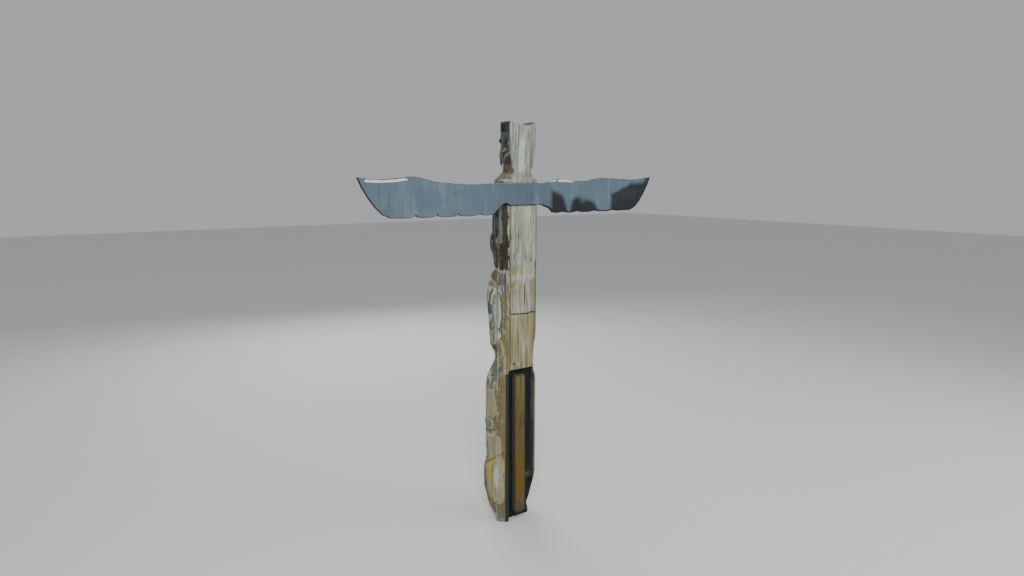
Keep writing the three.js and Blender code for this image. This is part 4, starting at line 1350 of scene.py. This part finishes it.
@dataclass
class WingPlank:
    """The plank of both wings."""

    voxel: float = 0.0058
    finish: PlankFinish = field(default_factory=PlankFinish)
    notches: Sequence[float] = (0.446, 0.656, 0.857, 1.051)
    right_notches: Sequence[float] = (0.430, 0.606, 0.812, 1.038)

    def build(self) -> bpy.types.Object:
        """Builds and dresses the plank.

        Returns:
            The piece.
        """
        piece = replica("wings", "wing_plank", self.voxel, 2)
        surface = Relief(piece.data)
        self.paint(surface)
        surface.store()
        surface.store_curvature(0.003)
        self.mark_back(surface)
        settle(piece, self.finish.material(), ["wings"])
        return piece

    def paint(self, r: Relief) -> None:
        """Paints the feathers of the front.

        Args:
            r: The plank's surface.
        """
        r.put(Paint.BLACK, r.panel(r.x, -1.6, 1.6, 2.80, 3.20))
        for side, cuts in ((1, self.notches), (-1, self.right_notches)):
            u = side * r.x
            stops = [0.31, *cuts, 1.28, 1.44]
            for k, (left, right) in enumerate(zip(stops, stops[1:])):
                lean = [(left + 0.018, 2.86), (left - 0.02, 2.95), (left - 0.06, 3.03)]
                middle = (left + right) / 2
                vane = [(middle, 2.89), (middle - 0.02, 2.95), (middle - 0.055, 3.025)]
                r.put(Paint.WHITE, r.stroke(u, vane, (right - left) * 0.58))
                quill = [(p + 0.5 * (right - left), z) for p, z in lean]
                r.put(Paint.RED if k % 2 else Paint.TEAL, r.stroke(u, quill, 0.028))
            coverts = r.stroke(u, [(0.24, 3.045), (0.76, 3.065), (1.12, 3.10), (1.40, 3.125)], 0.052)
            r.put(Paint.OCHRE, coverts)
            for k in range(9):
                r.put(Paint.BLACK, r.oval(u, 0.34 + 0.12 * k, 3.048 + 0.008 * k, 0.026, 0.018))
                r.put(Paint.WHITE, r.oval(u, 0.34 + 0.12 * k, 3.048 + 0.008 * k, 0.011, 0.008))

    def mark_back(self, r: Relief) -> None:
        """Marks the dark patches along the lower edge and tip, and the white slivers of the back.

        Args:
            r: The plank's surface.
        """
        u = -r.x
        behind = r.y > r.y.max() - 0.003
        # Dark patches: a fin and two humps along the lower edge, and the tip.
        fin = np.minimum(r.oval(u, 0.305, 2.840, 0.168, 0.192), u - 0.298)
        humps = np.maximum(r.oval(u, 0.595, 2.850, 0.080, 0.128), r.oval(u, 0.715, 2.836, 0.130, 0.112))
        over_tip = 2.985 + (u - 1.0) * 0.42 - r.z
        top_line = np.where(u > 1.42, 3.098 + (u - 1.42) * 0.70, 3.098) - r.z
        tip = np.minimum(np.minimum(u - 1.012, over_tip), top_line)
        blotch = np.maximum(fin, np.maximum(humps, tip))
        r.write("blotch", np.where(behind, r.clipped(blotch), -r.REACH))
        # White slivers along the top edge.
        left = np.minimum(r.stroke(r.x, [(1.46, 3.130), (1.34, 3.124), (1.22, 3.130), (1.12, 3.143)], 0.019),
                          r.oval(r.x, 1.29, 3.130, 0.19, 0.030))
        large = np.minimum(r.stroke(u, [(0.385, 3.126), (0.46, 3.130), (0.54, 3.118)], 0.026),
                           r.oval(u, 0.455, 3.126, 0.10, 0.020))
        small = r.stroke(u, [(0.275, 3.119), (0.345, 3.128)], 0.013)
        white_sliver = np.maximum(left, np.maximum(large, small))
        r.write("white_sliver", np.where(behind, r.clipped(white_sliver), -r.REACH))
        width = np.where((u > 0.20) & ((r.z < 3.06) | (u > 1.44)), 0.013, 0.004)
        r.write("border", np.where(behind, width - self.from_outline(r), -r.REACH))

    def from_outline(self, r: Relief) -> Array:
        """Measures how far each vertex is from the sawn outline of the plank.

        Args:
            r: The plank's surface.

        Returns:
            The distances in metres.
        """
        turned = np.flatnonzero(np.abs(r.normals[:, 1]) < 0.5)
        outline = KDTree(len(turned))
        for number in turned:
            outline.insert((r.x[number], 0, r.z[number]), int(number))
        outline.balance()
        return np.array([outline.find((x, 0, z))[2] for x, z in zip(r.x, r.z)])


@dataclass
class Post:
    """The bare timber post in the recess, with its decayed foot and a split head."""

    finish: PostFinish = field(default_factory=PostFinish)
    voxel: float = 0.0045
    warp: float = 0.0016
    foot_decay: float = 0.022
    foot_wear: float = 0.006
    foot_height: float = 0.10

    def build(self) -> bpy.types.Object:
        """Builds and dresses the post.

        Returns:
            The piece.
        """
        piece = replica("support_post", "timber_post", self.voxel, 1)
        surface = Relief(piece.data)
        foot = surface.z.min()
        low = np.clip((foot + self.foot_height - surface.z) / self.foot_height, 0, 1)
        ragged = 0.5 + 0.5 * np.sin(surface.x * 210 + surface.y * 330)
        surface.points[:, 2] += self.foot_decay * (low ** 3) * ragged
        waves = np.sin(surface.x * 260 + 1.3) * np.sin(surface.z * 6.1 + surface.x * 40)
        surface.lift(-self.warp * (0.5 + 0.5 * waves) - self.foot_wear * low * low * ragged)
        surface = Relief(piece.data)
        surface.store_curvature(0.003)
        settle(piece, self.finish.material(), ["support_post"])
        return piece


@dataclass
class Bolt:
    """A domed bolt head on a washer, on the flat back."""

    name: str
    x: float
    z: float
    finish: BoltFinish
    radius: float = 0.011
    washer: float = 0.018
    back_y: float = 0.156

    def build(self) -> bpy.types.Object:
        """Builds and dresses the bolt.

        Returns:
            The piece.
        """
        form = bmesh.new()
        bmesh.ops.create_circle(form, cap_ends=True, radius=self.washer, segments=28)
        faces = list(form.faces)
        for inset, rise in ((0.0, 0.0025), (self.washer - self.radius, 0.0), (0.0008, 0.004), (0.003, 0.002)):
            if inset:
                bmesh.ops.inset_region(form, faces=faces, thickness=inset, use_even_offset=True)
            if rise:
                grown = bmesh.ops.extrude_face_region(form, geom=faces)
                moved = [g for g in grown["geom"] if isinstance(g, bmesh.types.BMVert)]
                bmesh.ops.translate(form, verts=moved, vec=(0, 0, rise))
                bmesh.ops.delete(form, geom=faces, context="FACES_ONLY")
                faces = [g for g in grown["geom"] if isinstance(g, bmesh.types.BMFace)]
        bmesh.ops.holes_fill(form, edges=[e for e in form.edges if e.is_boundary])
        bmesh.ops.recalc_face_normals(form, faces=form.faces)
        turn = Matrix.Translation((self.x, self.back_y, self.z)) @ Matrix.Rotation(-math.pi / 2, 4, "X")
        bmesh.ops.transform(form, matrix=turn, verts=form.verts)
        mesh = bpy.data.meshes.new(self.name)
        form.to_mesh(mesh)
        form.free()
        piece = bpy.data.objects.new(self.name, mesh)
        bpy.context.scene.collection.objects.link(piece)
        settle(piece, self.finish.material())
        return piece


@dataclass
class Studio:
    """The floor, the soft lights and the camera."""

    eye: tuple[float, float, float] = (3.530, 5.146, 3.163)
    look: tuple[float, float, float] = (-0.55735, -0.81501, -0.15848)
    focal_pixels: float = 695.3
    frame_width: float = 1024
    film: float = 36.0
    sky: Rgb = (0.93, 0.95, 1.0)
    sky_strength: float = 0.46
    aim_z: float = 1.8
    lights: Sequence[tuple[str, tuple[float, float, float], float, float]] = (
        ("key", (4.5, 7.5, 7.5), 3.6, 640),
        ("fill", (-6.0, 5.0, 5.0), 6.0, 230),
        ("front", (-2.0, -8.0, 6.0), 6.0, 420),
    )

    def build(self) -> None:
        """Builds the studio."""
        self.floor()
        self.camera()
        for name, place, size, watts in self.lights:
            self.light(name, place, size, watts)
        world = bpy.data.worlds.new("studio")
        world.use_nodes = True
        glow = world.node_tree.nodes["Background"].inputs
        glow["Color"].default_value = (*self.sky, 1)
        glow["Strength"].default_value = self.sky_strength
        bpy.context.scene.world = world

    def floor(self) -> None:
        """Lays the pale floor."""
        form = bmesh.new()
        bmesh.ops.create_grid(form, x_segments=1, y_segments=1, size=40)
        mesh = bpy.data.meshes.new("floor")
        form.to_mesh(mesh)
        form.free()
        floor = bpy.data.objects.new("floor", mesh)
        bpy.context.scene.collection.objects.link(floor)
        s = Shader("floor_paint")
        mesh.materials.append(s.finish(s.mix(srgb(222, 222, 220), srgb(228, 228, 226), s.noise(2.0)), 0.9))

    def camera(self) -> None:
        """Sets the camera at the photograph's viewpoint."""
        lens = bpy.data.cameras.new("view")
        lens.sensor_width = self.film
        lens.lens = self.focal_pixels / self.frame_width * self.film
        lens.clip_end = 200
        camera = bpy.data.objects.new("view", lens)
        camera.location = self.eye
        camera.rotation_euler = Vector(self.look).to_track_quat("-Z", "Y").to_euler()
        bpy.context.scene.collection.objects.link(camera)
        bpy.context.scene.camera = camera

    def light(self, name: str, place: Sequence[float], size: float, watts: float) -> None:
        """Adds one soft light aimed at the pole.

        Args:
            name: Its name.
            place: Where it stands.
            size: The length of its sides.
            watts: Its power.
        """
        lamp = bpy.data.lights.new(name, "AREA")
        lamp.energy = watts
        lamp.size = size
        holder = bpy.data.objects.new(name, lamp)
        holder.location = place
        aim = Vector((0, 0, self.aim_z)) - Vector(place)
        holder.rotation_euler = aim.to_track_quat("-Z", "Y").to_euler()
        bpy.context.scene.collection.objects.link(holder)


def main() -> None:
    """Builds the studio and dresses every piece of the pole."""
    logging.basicConfig(level=logging.INFO, format="%(name)s: %(message)s")
    Studio().build()
    CarvedLog().build()
    WingPlank().build()
    Post().build()
    bright = BoltFinish("bright_bolt", srgb(196, 196, 188), -0.40)
    Bolt("bolt_bright", 0.052, 1.497, bright, 0.0060, 0.0100).build()
    rusty = BoltFinish("rusty_bolt", srgb(70, 54, 44), 0.0)
    Bolt("bolt_rusty", 0.096, 1.499, rusty, 0.0065, 0.0105).build()


if __name__ == "__main__":
    main()
